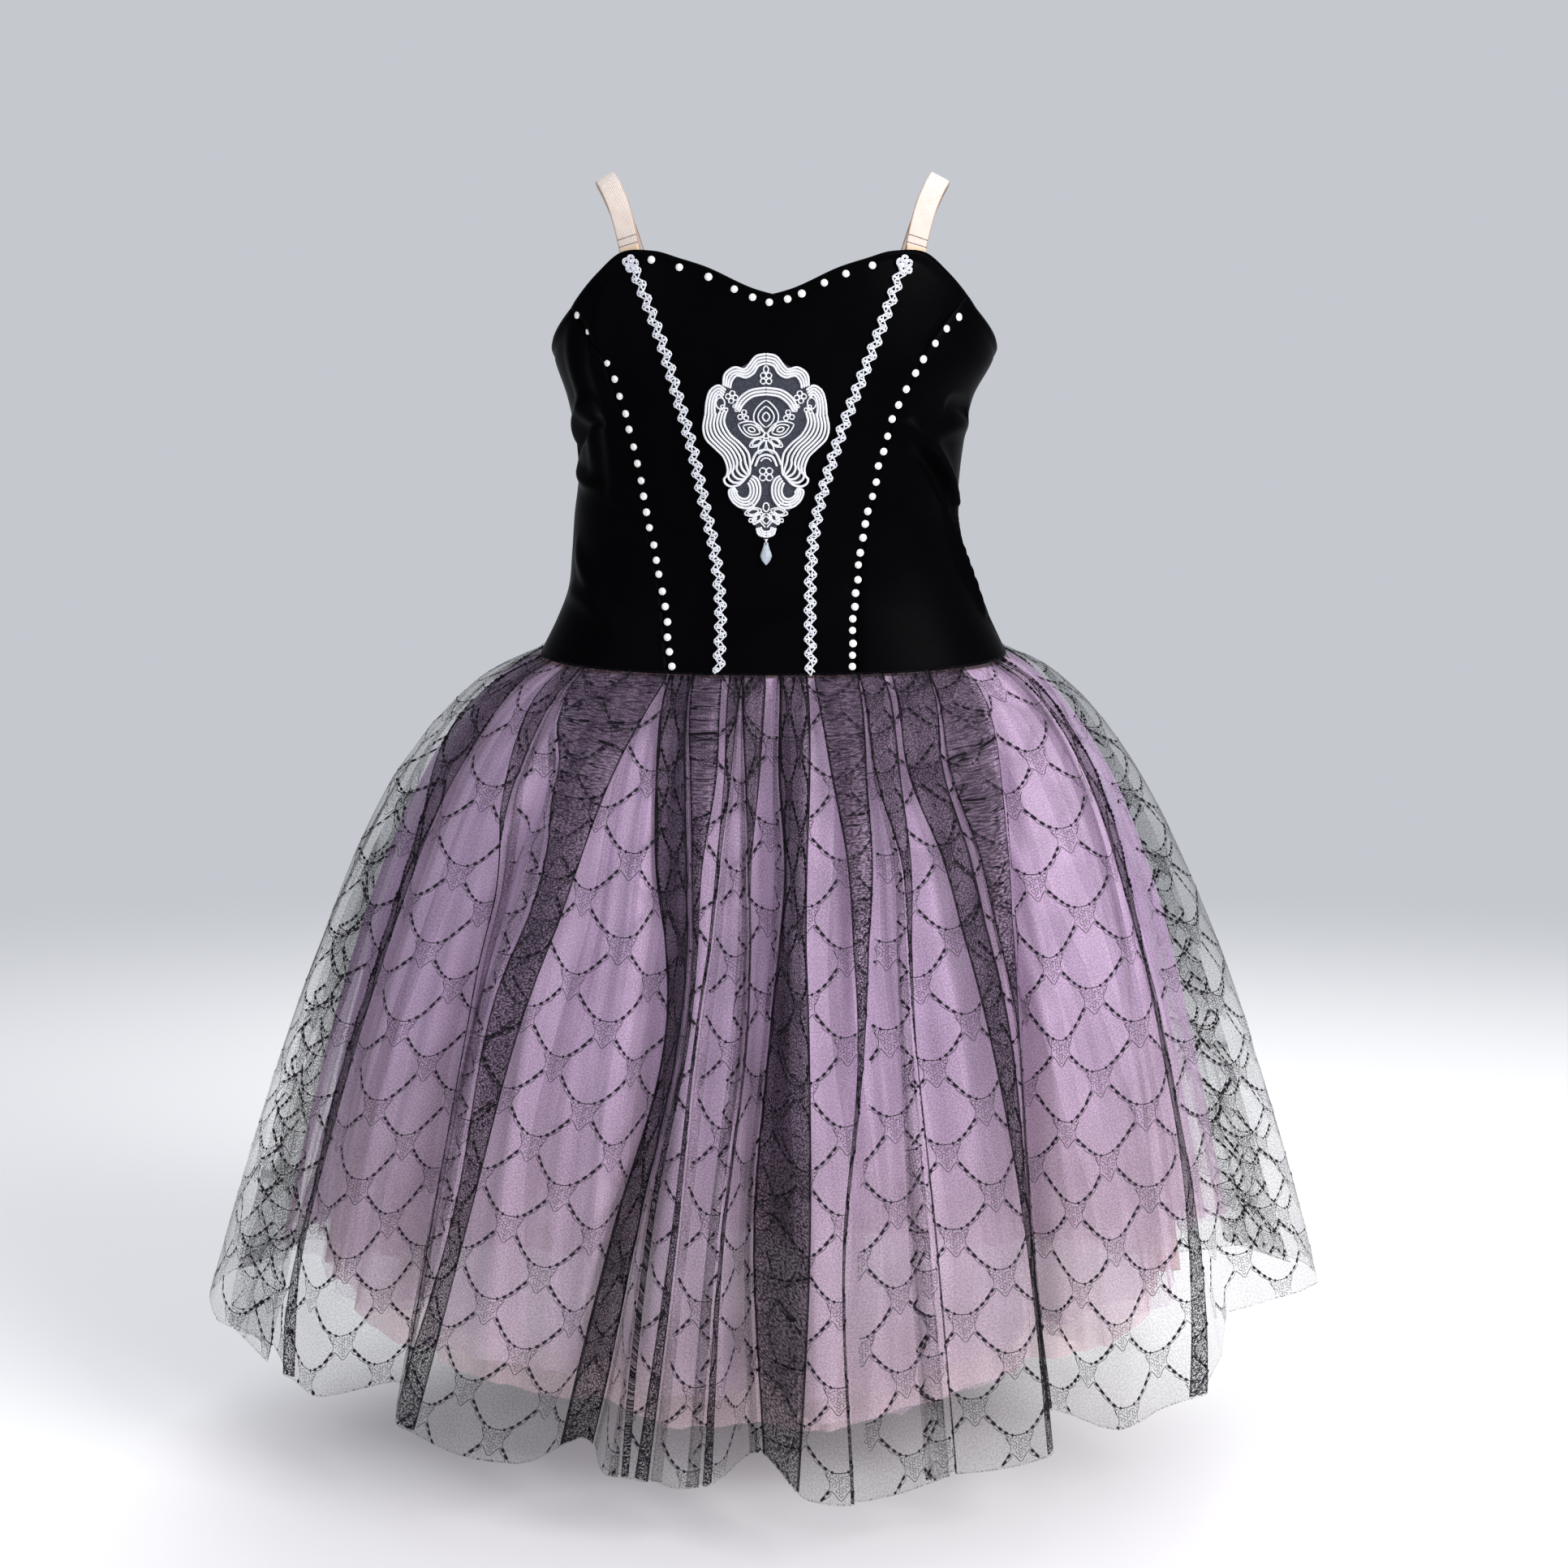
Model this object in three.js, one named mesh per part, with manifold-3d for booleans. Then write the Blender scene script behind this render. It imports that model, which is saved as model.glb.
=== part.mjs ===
// Child's ballet dress: a black velvet bodice with nude elastic straps, silver braid, a lace
// medallion with a crystal drop, and a gathered skirt of three lilac tulle layers under one
// layer of black patterned net.
// Millimetres, +Z up, the front faces -Y. The origin lies midway between the tops of the two
// shoulder straps, where the wearer's shoulders hold the dress up.
import * as THREE from 'three';
import { mergeVertices } from 'three/addons/utils/BufferGeometryUtils.js';
import Module from 'manifold-3d';

// ---------------------------------------------------------------- driving dimensions
const SEAM_GAP = 0.3; // between pieces that are sewn edge to edge
const LAID_ON = 1; // between the velvet and a trim that is sewn on it
const VELVET = 1.5; // wall of the bodice
const ELASTIC = 1.2; // strap
const SHEER = 1.0; // wall of the net and of each tulle layer
const LACE = 1.0;
const BRAID = 1.2;

const WAIST_Z = -305; // seam between bodice and skirt, below the strap tops
const BODICE_END = WAIST_Z + VELVET / 2; // lower outer edge; the inner one dips as it flares
const STRAP_WIDTH = 13.5;
const STRAP_TUCK = 12; // strap end sewn inside the velvet
const BRAID_WIDTH = 8.5;
const NET_LENGTH = 500; // cut length of the longest skirt layer, waist to hem
// How far the skirt flares out on each side, as a share of the flare curve.
const skirtFlare = { left: 1.03, right: 0.98, front: 0.5, back: 0.6 };

// Plan sections of the bodice: half width on each side, depth to the front and the back. The
// dress hangs a little uneven, so the two sides differ.
const bodySections = [
  { z: -305, left: 150, right: 151, front: 92, back: 94 },
  { z: -282, left: 138.5, right: 140, front: 87, back: 88 },
  { z: -262, left: 131, right: 131, front: 83, back: 81 },
  { z: -240, left: 128.5, right: 123, front: 81, back: 76 },
  { z: -215, left: 126.5, right: 118, front: 81, back: 74 },
  { z: -190, left: 123.5, right: 119, front: 83, back: 75 },
  { z: -165, left: 125, right: 122, front: 86, back: 78 },
  { z: -140, left: 130, right: 127, front: 88, back: 80 },
  { z: -114, left: 138, right: 140, front: 88, back: 81 },
  { z: -80, left: 139, right: 140, front: 85, back: 80 },
  { z: -48, left: 138, right: 139, front: 79, back: 76 },
];
const BODY_ROUND = 0.87; // power of sine and cosine in plan: 1 is an ellipse, less is squarer

// Top edge, by turn from the centre front: sweetheart point, strap peak, armhole, back scoop.
const topEdge = [
  { turn: 0, z: -73 },
  { turn: 4, z: -69 },
  { turn: 13, z: -58 },
  { turn: 21, z: -52 },
  { turn: 28, z: -48 },
  { turn: 38.5, z: -49 },
  { turn: 47, z: -60.5 },
  { turn: 58, z: -78 },
  { turn: 62, z: -84.5 },
  { turn: 74, z: -98 },
  { turn: 84, z: -107 },
  { turn: 95, z: -115 },
  { turn: 115, z: -127 },
  { turn: 140, z: -140 },
  { turn: 180, z: -150 },
];
const SIDE_SEAM = 95; // turn of the side seam, just behind the widest point

// Princess seam and braid: distance from the centre line on each side, at each height.
const princessSeam = [
  { z: -305, left: 64.5, right: 51 },
  { z: -261, left: 69.3, right: 53 },
  { z: -218, left: 77.6, right: 58.6 },
  { z: -171, left: 86.7, right: 69 },
  { z: -148, left: 91.6, right: 76 },
  { z: -127, left: 98.5, right: 85.5 },
  { z: -110, left: 105, right: 96 },
  { z: -84.5, left: 124, right: 119 },
];
const braidLine = [
  { z: -303, left: 33, right: 23.5 },
  { z: -263, left: 32, right: 22.9 },
  { z: -230, left: 35.3, right: 23.9 },
  { z: -202, left: 41.2, right: 28 },
  { z: -165, left: 48.8, right: 38.3 },
  { z: -134, left: 57.3, right: 49.2 },
  { z: -100, left: 67.4, right: 62.5 },
  { z: -52, left: 86, right: 80 },
];

// Lace medallion: half width at each height, top to bottom, about its own centre line.
const MEDALLION_X = -4;
const medallionRows = [
  { z: -109, halfWidth: 6 },
  { z: -113, halfWidth: 14 },
  { z: -121, halfWidth: 24 },
  { z: -128, halfWidth: 33 },
  { z: -140, halfWidth: 37 },
  { z: -153, halfWidth: 38 },
  { z: -165, halfWidth: 34 },
  { z: -177, halfWidth: 27 },
  { z: -186, halfWidth: 24.5 },
  { z: -200, halfWidth: 20.5 },
  { z: -209, halfWidth: 13 },
  { z: -216, halfWidth: 7 },
  { z: -221, halfWidth: 2.2 },
];

// Crystal drop and the ring it hangs on, below a loop of thread at the tip of the lace.
const PICOT_RADIUS = 0.9;
const PICOT_WIRE = 0.3;
const PICOT_Z = -221.5;
const PICOT_PROUD = 0.2; // its centre, in front of the face of the lace
const RING_RADIUS = 1.25;
const RING_WIRE = 0.25;
const DROP_LENGTH = 14;
const DROP_WIDTH = 7;
const DROP_DEPTH = 2.9;
const DROP_HOLE = 0.5; // radius, drilled from front to back
const DROP_ABOVE_HOLE = 1; // from the centre of the hole to the top of the drop

// Troughs of the skirt between its panels: turn at the waist and at the hem, a sideways bow at
// mid height, half width in degrees and depth at the hem. A negative depth is a ridge.
const skirtFolds = [
  { waist: -1, hem: -1.5, bow: 0, width: 5, depth: 52 },
  { waist: 8, hem: 7, bow: 1, width: 11, depth: -26 },
  { waist: 54, hem: 32, bow: 0, width: 4.5, depth: 50 },
  { waist: 60, hem: 42, bow: 0, width: 12, depth: 14 },
  { waist: 76, hem: 70, bow: 0, width: 22, depth: 52 },
  { waist: 118, hem: 124, bow: 0, width: 8, depth: 50 },
  { waist: 146, hem: 151, bow: 1, width: 7, depth: 46 },
  { waist: 171, hem: 177, bow: 0, width: 8, depth: 54 },
  { waist: -158, hem: -154, bow: -1, width: 7, depth: 48 },
  { waist: -128, hem: -126, bow: 0, width: 8, depth: 54 },
  { waist: -98, hem: -104, bow: 0, width: 7, depth: 34 },
  { waist: -62, hem: -66, bow: 0, width: 8, depth: 14 },
  { waist: -36, hem: -45, bow: 0, width: 6, depth: 50 },
  { waist: -19, hem: -20, bow: 5, width: 4.5, depth: 45 },
];
const DEEP = 30; // folds at least this deep have columns of their own

// Skirt layers, outermost first: cut length, how far each hangs inside the net at the hem, the
// share of each fold's depth that it follows, and its place in the stack at the waist seam.
const skirtLayers = [
  { name: 'skirt_net_overlay', length: 500, inset: 0, follow: 1, stack: 0, colour: 0x2a2630 },
  { name: 'skirt_tulle_outer', length: 472, inset: 24, follow: 0.72, stack: 1, colour: 0xb79cc5 },
  { name: 'skirt_tulle_middle', length: 466, inset: 42, follow: 0.5, stack: 2, colour: 0xc3a6cc },
  { name: 'skirt_tulle_inner', length: 455, inset: 58, follow: 0.32, stack: 3, colour: 0xd8b0d2 },
];
const STACK_STEP = 1.5; // from one layer to the next below it at the waist seam
// Rows of points down every layer, as shares of the net's length. Each layer adds its hem.
const skirtRows = [0, 0.06, 0.16, 0.32, 0.54, 0.78];

// ---------------------------------------------------------------- helpers
const radians = THREE.MathUtils.degToRad;
const lerp = THREE.MathUtils.lerp;

// Value of a column at a place in a table, smooth through the rows.
function read(table, key, column, at) {
  const rows = [...table].sort((p, q) => p[key] - q[key]);
  const last = rows.length - 1;
  const place = THREE.MathUtils.clamp(at, rows[0][key], rows[last][key]);
  let i = rows.findIndex((row, n) => n < last && place <= rows[n + 1][key]);
  if (i < 0) i = last - 1;
  const slope = (n) => {
    const low = rows[Math.max(n - 1, 0)];
    const high = rows[Math.min(n + 1, last)];
    return (high[column] - low[column]) / (high[key] - low[key]);
  };
  const span = rows[i + 1][key] - rows[i][key];
  const u = (place - rows[i][key]) / span;
  const rise = 3 * u * u - 2 * u * u * u;
  const start = (u * u * u - 2 * u * u + u) * span * slope(i);
  const end = (u * u * u - u * u) * span * slope(i + 1);
  return lerp(rows[i][column], rows[i + 1][column], rise) + start + end;
}

function power(value, exponent) {
  return Math.sign(value) * Math.abs(value) ** exponent;
}

// A wall of cloth over a grid. pointAt(u, v) is its outer face, u across to the +X side seen
// from the front and v down. The inner face lies one thickness inside. With wraps the last
// column meets the first, and the wall is an open tube.
function wall(us, vs, pointAt, thickness, wraps = false) {
  const across = us.length;
  const down = vs.length;
  const step = 1e-3;
  const positions = [];
  for (const side of [0, 1]) {
    for (const v of vs) {
      for (const u of us) {
        const right = pointAt(u + step, v).sub(pointAt(u - step, v));
        const below = pointAt(u, v + step).sub(pointAt(u, v - step));
        const outward = below.cross(right).normalize();
        const point = pointAt(u, v).addScaledVector(outward, -thickness * side);
        positions.push(point.x, point.y, point.z);
      }
    }
  }
  const at = (side, i, j) => side * across * down + j * across + (i % across);
  const faces = [];
  const quad = (a, b, c, d) => faces.push(a, b, c, a, c, d);
  const strips = wraps ? across : across - 1;
  for (let i = 0; i < strips; i += 1) {
    for (let j = 0; j < down - 1; j += 1) {
      quad(at(0, i, j), at(0, i, j + 1), at(0, i + 1, j + 1), at(0, i + 1, j));
      quad(at(1, i, j), at(1, i + 1, j), at(1, i + 1, j + 1), at(1, i, j + 1));
    }
    quad(at(0, i, 0), at(0, i + 1, 0), at(1, i + 1, 0), at(1, i, 0));
    quad(at(0, i, down - 1), at(1, i, down - 1), at(1, i + 1, down - 1), at(0, i + 1, down - 1));
  }
  if (!wraps) {
    for (let j = 0; j < down - 1; j += 1) {
      const end = across - 1;
      quad(at(0, 0, j), at(1, 0, j), at(1, 0, j + 1), at(0, 0, j + 1));
      quad(at(0, end, j), at(0, end, j + 1), at(1, end, j + 1), at(1, end, j));
    }
  }
  const geometry = new THREE.BufferGeometry();
  geometry.setAttribute('position', new THREE.Float32BufferAttribute(positions, 3));
  geometry.setIndex(faces);
  return geometry;
}

// Even steps from one value to another.
function steps(from, to, count) {
  return Array.from({ length: count + 1 }, (_, n) => lerp(from, to, n / count));
}

function cloth(colour, roughness = 0.9) {
  return new THREE.MeshStandardMaterial({ color: colour, roughness, metalness: 0 });
}

const group = new THREE.Group();
function add(name, geometry, material) {
  const mesh = new THREE.Mesh(geometry, material);
  mesh.name = name;
  group.add(mesh);
  return mesh;
}

// ---------------------------------------------------------------- bodice
// Outer face of the velvet. turn is 0 at the centre front, 90 at the +X side, 180 at the back.
function bodicePoint(turn, z) {
  const sine = Math.sin(radians(turn));
  const cosine = Math.cos(radians(turn));
  const depth = read(bodySections, 'z', cosine > 0 ? 'front' : 'back', z);
  const halfWidth = read(bodySections, 'z', sine < 0 ? 'left' : 'right', z);
  return new THREE.Vector3(
    halfWidth * power(sine, BODY_ROUND),
    -depth * power(cosine, BODY_ROUND),
    z,
  );
}

// Turn at which the bodice is x to the right of the centre line at height z.
function turnAt(x, z) {
  const share = x / read(bodySections, 'z', x < 0 ? 'left' : 'right', z);
  return THREE.MathUtils.radToDeg(Math.asin(power(share, 1 / BODY_ROUND)));
}

// Turn of a princess seam at v, from 0 at its top to 1 at the waist.
const princessTop = princessSeam[princessSeam.length - 1];
function princessTurn(side, v) {
  const z = lerp(princessTop.z, BODICE_END, v);
  const away = read(princessSeam, 'z', side, z);
  return turnAt(side === 'left' ? -away : away, z);
}

function wrapped(turn) {
  return turn > 180 ? turn - 360 : turn;
}

// A panel between two seams. turnOf(u, v) runs across it, and each side edge is set back by
// half a seam gap.
function bodicePanel(name, us, turnOf) {
  const spread = (u, v) => {
    const top = read(topEdge, 'turn', 'z', Math.abs(wrapped(turnOf(u, 0))));
    return bodicePoint(turnOf(u, v), lerp(top, BODICE_END, v));
  };
  const first = us[0];
  const last = us[us.length - 1];
  const near = 0.01; // step of u that measures the cloth's width per unit of u at its edge
  const pointAt = (u, v) => {
    const perUnit = spread(last, v).distanceTo(spread(last - near, v)) / near;
    const inwards = (SEAM_GAP / 2 / perUnit) * (1 - (2 * (u - first)) / (last - first));
    return spread(u + inwards, v);
  };
  add(name, wall(us, steps(0, 1, 8), pointAt, VELVET), cloth(0x0b0b0f, 0.8));
}

// The front's columns pass through the points of its top edge, as shares of the way out.
const frontShares = [4, 8.5, 13, 21, 28, 33.5, 38.5, 47, 54, 62].map((turn) => turn / 62);
const frontColumns = [...frontShares.map((share) => -share).reverse(), 0, ...frontShares];
const frontTurn = (u, v) => Math.abs(u) * princessTurn(u < 0 ? 'left' : 'right', v);
const rightTurn = (u, v) => lerp(princessTurn('right', v), SIDE_SEAM, u);
const leftTurn = (u, v) => lerp(princessTurn('left', v), -SIDE_SEAM, -u);
const backTurn = (u) => lerp(SIDE_SEAM, 360 - SIDE_SEAM, u);
bodicePanel('bodice_front', frontColumns, frontTurn);
bodicePanel('bodice_side_right', steps(0, 1, 4), rightTurn);
bodicePanel('bodice_side_left', steps(-1, 0, 4), leftTurn);
bodicePanel('bodice_back', steps(0, 1, 14), backTurn);

// ---------------------------------------------------------------- straps
// One elastic loop each: tucked inside the front peak, over the shoulder, down to the back
// panel. A row is a point of the centre line of its upper face, and the yaw of its width.
const strapRoute = [
  { x: 86, y: -63.8, z: -49 - STRAP_TUCK, yaw: 21.5 },
  { x: 87, y: -62.6, z: -46, yaw: 20 },
  { x: 92, y: -52, z: -22, yaw: 12 },
  { x: 97, y: -36, z: -6.5, yaw: 5 },
  { x: 101, y: -16, z: 0, yaw: 0 },
  { x: 102, y: 2, z: ELASTIC, yaw: 0 },
  { x: 101, y: 20, z: -2.5, yaw: 0 },
  { x: 97, y: 36, z: -13, yaw: -3 },
  { x: 90, y: 50, z: -35, yaw: -8 },
  { x: 82, y: 60, z: -68, yaw: -14 },
  { x: 76, y: 65, z: -105, yaw: -18 },
  { x: 73, y: 66, z: -138, yaw: -19.5 },
  { x: 72, y: 66.2, z: -138 - STRAP_TUCK, yaw: -19.5 },
];

function strap(name, side) {
  const points = strapRoute.map((row) => new THREE.Vector3(side * row.x, row.y, row.z));
  const centre = new THREE.CatmullRomCurve3(points, false, 'centripetal');
  const yawRows = strapRoute.map((row, n) => ({ place: n / (strapRoute.length - 1), yaw: row.yaw }));
  // u runs to -X seen from the front, and v from the front foot over the top to the back foot.
  const pointAt = (u, v) => {
    const place = THREE.MathUtils.clamp(v, 0, 1);
    const along = centre.getTangent(place);
    const yaw = radians(side * read(yawRows, 'place', 'yaw', place));
    const widthWay = new THREE.Vector3(Math.cos(yaw), Math.sin(yaw), 0);
    widthWay.addScaledVector(along, -along.dot(widthWay)).normalize();
    return centre.getPoint(place).addScaledVector(along, (v - place) * 100)
      .addScaledVector(widthWay, -u * STRAP_WIDTH);
  };
  add(name, wall([-0.5, 0, 0.5], steps(0, 1, 22), pointAt, ELASTIC), cloth(0xe8d8cf, 0.6));
}
strap('strap_left', -1);
strap('strap_right', 1);

// ---------------------------------------------------------------- trims on the front
// Point above the velvet at a distance from the centre line.
function onFront(x, z, lift) {
  const base = bodicePoint(turnAt(x, z), z);
  const right = bodicePoint(turnAt(x + 1, z), z).sub(bodicePoint(turnAt(x - 1, z), z));
  const below = bodicePoint(turnAt(x, z - 1), z - 1).sub(bodicePoint(turnAt(x, z + 1), z + 1));
  return base.addScaledVector(below.cross(right).normalize(), lift);
}

const braidTop = braidLine[braidLine.length - 1].z;
const braidEnd = braidLine[0].z;
for (const [side, sign] of [['left', -1], ['right', 1]]) {
  const pointAt = (u, v) => {
    const z = lerp(braidTop, braidEnd, v);
    const x = sign * read(braidLine, 'z', side, z);
    return onFront(x + u * BRAID_WIDTH, z, LAID_ON + BRAID);
  };
  add(`braid_${side}`, wall([-0.5, 0, 0.5], steps(0, 1, 18), pointAt, BRAID), cloth(0xdde2ea, 0.5));
}

const medallionPoint = (u, down) => {
  const halfWidth = read(medallionRows, 'z', 'halfWidth', -down);
  return onFront(MEDALLION_X + u * halfWidth, -down, LAID_ON + LACE);
};
const medallionDown = medallionRows.map((row) => -row.z);
const medallion = wall(steps(-1, 1, 8), medallionDown, medallionPoint, LACE);

function solidOf(wasm, geometry) {
  const bare = geometry.clone();
  for (const name of Object.keys(bare.attributes)) {
    if (name !== 'position') bare.deleteAttribute(name);
  }
  const merged = mergeVertices(bare, 1e-4);
  return new wasm.Manifold(new wasm.Mesh({
    numProp: 3,
    vertProperties: new Float32Array(merged.attributes.position.array),
    triVerts: new Uint32Array(merged.index.array),
  }));
}

function geometryOf(solid) {
  const mesh = solid.getMesh();
  const geometry = new THREE.BufferGeometry();
  geometry.setAttribute('position', new THREE.Float32BufferAttribute(mesh.vertProperties, 3));
  geometry.setIndex([...mesh.triVerts]);
  return geometry;
}

const wasm = await Module();
wasm.setup();

const tip = onFront(MEDALLION_X, PICOT_Z, LAID_ON + LACE + PICOT_PROUD);
const picotLoop = new THREE.TorusGeometry(PICOT_RADIUS, PICOT_WIRE, 8, 20);
picotLoop.rotateX(Math.PI / 2).translate(tip.x, tip.y, PICOT_Z);
const laceSolid = solidOf(wasm, medallion).add(solidOf(wasm, picotLoop));
add('lace_medallion', geometryOf(laceSolid), cloth(0xe9edf2, 0.6));

// Ring through the picot, seen edge on from the front. Its upper wire passes the picot's centre.
const ringZ = PICOT_Z - RING_RADIUS;
const ring = new THREE.TorusGeometry(RING_RADIUS, RING_WIRE, 8, 24);
ring.rotateY(Math.PI / 2).translate(tip.x, tip.y, ringZ);
const silver = new THREE.MeshStandardMaterial({ color: 0xc9ccd2, roughness: 0.2, metalness: 1 });
add('drop_ring', ring, silver);

// Faceted pear drop on the ring's lower wire: its half width at shares of its length.
const pearRows = [
  { down: 0, share: 0.26 },
  { down: 0.04, share: 0.38 },
  { down: 0.12, share: 0.4 },
  { down: 0.3, share: 0.62 },
  { down: 0.48, share: 0.9 },
  { down: 0.62, share: 1 },
  { down: 0.8, share: 0.74 },
  { down: 0.94, share: 0.32 },
  { down: 1, share: 0.08 },
];
const holeZ = ringZ - RING_RADIUS;
const profile = [new THREE.Vector2(0, 0)];
for (const row of pearRows) profile.push(new THREE.Vector2(row.share / 2, -row.down));
profile.push(new THREE.Vector2(0, -1));
const pear = new THREE.LatheGeometry(profile.reverse(), 8);
pear.rotateX(Math.PI / 2).scale(DROP_WIDTH, DROP_DEPTH, DROP_LENGTH);
pear.translate(tip.x, tip.y, holeZ + DROP_ABOVE_HOLE);
const drill = new THREE.CylinderGeometry(DROP_HOLE, DROP_HOLE, DROP_DEPTH * 2, 12);
drill.translate(tip.x, tip.y, holeZ);
const dropSolid = solidOf(wasm, pear).subtract(solidOf(wasm, drill));
const crystal = new THREE.MeshStandardMaterial({ color: 0xe6eef8, roughness: 0.05 });
add('crystal_drop', geometryOf(dropSolid), crystal);

// ---------------------------------------------------------------- skirt
// Share of the net's length at t that is spent going outwards at the sides: a quick flare out
// of the gathers that steepens to a nearly straight fall.
function flareSlope(t) {
  return 0.26 + 0.72 * Math.exp(-4 * t);
}
function flareReach(t) {
  return NET_LENGTH * (0.26 * t + 0.18 * (1 - Math.exp(-4 * t)));
}

// Fall below the waist seam of a strip whose flare is a share of the sides' flare.
function fall(share, t) {
  const count = 24;
  let drop = 0;
  for (let n = 0; n < count; n += 1) {
    const slope = share * flareSlope(((n + 0.5) / count) * t);
    drop += Math.sqrt(1 - slope * slope) * (t / count) * NET_LENGTH;
  }
  return drop;
}

// Folds and gaps between layers grow from nothing at the waist to full size at the hem.
function growth(t) {
  return Math.max(t, 0) ** 0.8;
}

// Turn of a fold's centre, and its half width.
function foldTurn(fold, t) {
  return fold.hem + (fold.waist - fold.hem) * Math.exp(-4 * t) + fold.bow * 4 * t * (1 - t);
}
function foldWidth(fold, t) {
  return fold.width * lerp(0.8, 1, t);
}

// Depth of the troughs at a turn.
function foldDepth(turn, t) {
  let depth = 0;
  for (const fold of skirtFolds) {
    let away = turn - foldTurn(fold, t);
    away -= 360 * Math.round(away / 360);
    const width = foldWidth(fold, t);
    if (Math.abs(away) < width) depth += fold.depth * (1 + Math.cos((Math.PI * away) / width)) / 2;
  }
  return depth * growth(t);
}

const waist = bodySections[0];
function skirtPoint(layer, turn, t) {
  const sine = Math.sin(radians(turn));
  const cosine = Math.cos(radians(turn));
  const across = sine < 0 ? 'left' : 'right';
  const along = cosine > 0 ? 'front' : 'back';
  const roundness = lerp(BODY_ROUND, 1, Math.min(3 * t, 1));
  const reach = flareReach(t);
  const halfWidth = waist[across] + reach * skirtFlare[across];
  const depth = waist[along] + reach * skirtFlare[along];
  const outward = new THREE.Vector3(sine / halfWidth, -cosine / depth, 0).normalize();
  const share = Math.hypot(sine, cosine * skirtFlare[along]);
  const slope = share * flareSlope(t);
  const below = layer.stack * STACK_STEP;
  const hang = layer.inset * growth(t) + layer.follow * foldDepth(turn, t);
  return new THREE.Vector3(
    halfWidth * power(sine, roundness),
    -depth * power(cosine, roundness),
    WAIST_Z - SEAM_GAP - fall(share, t) - below * slope,
  ).addScaledVector(outward, -hang - below * Math.sqrt(1 - slope * slope));
}

// Columns: five across each deep trough, which follow it down, and one in each panel.
const foldColumns = [];
const troughs = skirtFolds.filter((fold) => fold.depth >= DEEP).sort((p, q) => p.hem - q.hem);
troughs.forEach((fold, n) => {
  const next = troughs[(n + 1) % troughs.length];
  for (const share of [-1, -0.5, 0, 0.5, 1]) foldColumns.push({ fold, share, next: null });
  foldColumns.push({ fold, share: 1, next });
});

function columnTurn(column, t) {
  const start = foldTurn(column.fold, t) + column.share * foldWidth(column.fold, t);
  if (!column.next) return start;
  let end = foldTurn(column.next, t) - foldWidth(column.next, t);
  if (end < start) end += 360;
  return (start + end) / 2;
}

for (const layer of skirtLayers) {
  const pointAt = (u, t) => {
    const column = Math.round(u);
    const turn = columnTurn(foldColumns[column % foldColumns.length], t);
    return skirtPoint(layer, turn + (u - column) * 2, Math.max(t, 0));
  };
  const rows = [...skirtRows, layer.length / NET_LENGTH];
  add(layer.name, wall(foldColumns.map((_, n) => n), rows, pointAt, SHEER, true), cloth(layer.colour));
}

export default group;
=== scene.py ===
import math

import bpy
import numpy as np
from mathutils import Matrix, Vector


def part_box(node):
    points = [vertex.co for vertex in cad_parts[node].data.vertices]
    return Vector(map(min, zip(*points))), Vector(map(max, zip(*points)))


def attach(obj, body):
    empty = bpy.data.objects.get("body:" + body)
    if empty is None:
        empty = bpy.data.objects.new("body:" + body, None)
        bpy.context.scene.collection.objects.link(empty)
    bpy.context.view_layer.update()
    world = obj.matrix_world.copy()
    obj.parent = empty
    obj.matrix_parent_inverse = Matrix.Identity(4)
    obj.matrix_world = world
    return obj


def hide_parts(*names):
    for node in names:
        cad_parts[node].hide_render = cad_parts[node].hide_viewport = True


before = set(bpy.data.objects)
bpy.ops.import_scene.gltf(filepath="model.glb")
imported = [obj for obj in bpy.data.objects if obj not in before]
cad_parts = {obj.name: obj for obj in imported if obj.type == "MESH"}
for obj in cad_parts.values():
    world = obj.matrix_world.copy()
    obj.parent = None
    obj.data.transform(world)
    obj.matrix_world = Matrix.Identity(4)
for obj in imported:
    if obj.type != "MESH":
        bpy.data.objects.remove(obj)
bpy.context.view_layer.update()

# ---------------------------------------------------------------- camera
# A portrait lens 1.8 m in front of the dress, level with the tops of the straps and looking
# down a little, so the whole skirt is in the square frame.
LENS_MM = 64.73
LOOKS_DOWN_DEG = 12.4
DISTANCE = 1.8
ABOVE_ORIGIN = 0.003


def link_object(name, data):
    made = bpy.data.objects.new(name, data)
    bpy.context.scene.collection.objects.link(made)
    return made


camera = bpy.data.cameras.new("camera")
camera.lens = LENS_MM
camera.sensor_width = 36
camera.shift_x = 14 / 1932
camera_stand = link_object("camera", camera)
camera_stand.location = (0, -DISTANCE, ABOVE_ORIGIN)
camera_stand.rotation_euler = (math.radians(90 - LOOKS_DOWN_DEG), 0, 0)
bpy.context.scene.camera = camera_stand
bpy.context.scene.view_settings.view_transform = "Standard"
# Sight passes through many sheer layers at the skirt's sides, and light is scattered twice.
bpy.context.scene.cycles.transparent_max_bounces = 64
bpy.context.scene.cycles.max_bounces = 2

# ---------------------------------------------------------------- floor and studio light
# A matt white floor under large soft boxes, with the fall-off of their light painted on: it is
# white near the dress and greys away into a glow of the backdrop's colour. The dress hangs just
# clear of it.
FLOOR_Z = -0.838
FLOOR_RADIUS = 14
# Where the painted fall-off of light begins and where it ends
GREYS_FROM, GREY_AT = 0.55, 1.5  # metres from the dress, and less far to the sides
SIDEWAYS = 0.55
BACKDROP = "#C5C8CE"
WALL_LIGHT = 0.55  # the grey walls give less light than their look in front of the lens


def linear(text):
    """An sRGB hex colour as the linear values that a shader takes."""
    values = [int(text[n:n + 2], 16) / 255 for n in (1, 3, 5)]
    return [v / 12.92 if v <= 0.04045 else ((v + 0.055) / 1.055) ** 2.4 for v in values] + [1]


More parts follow.
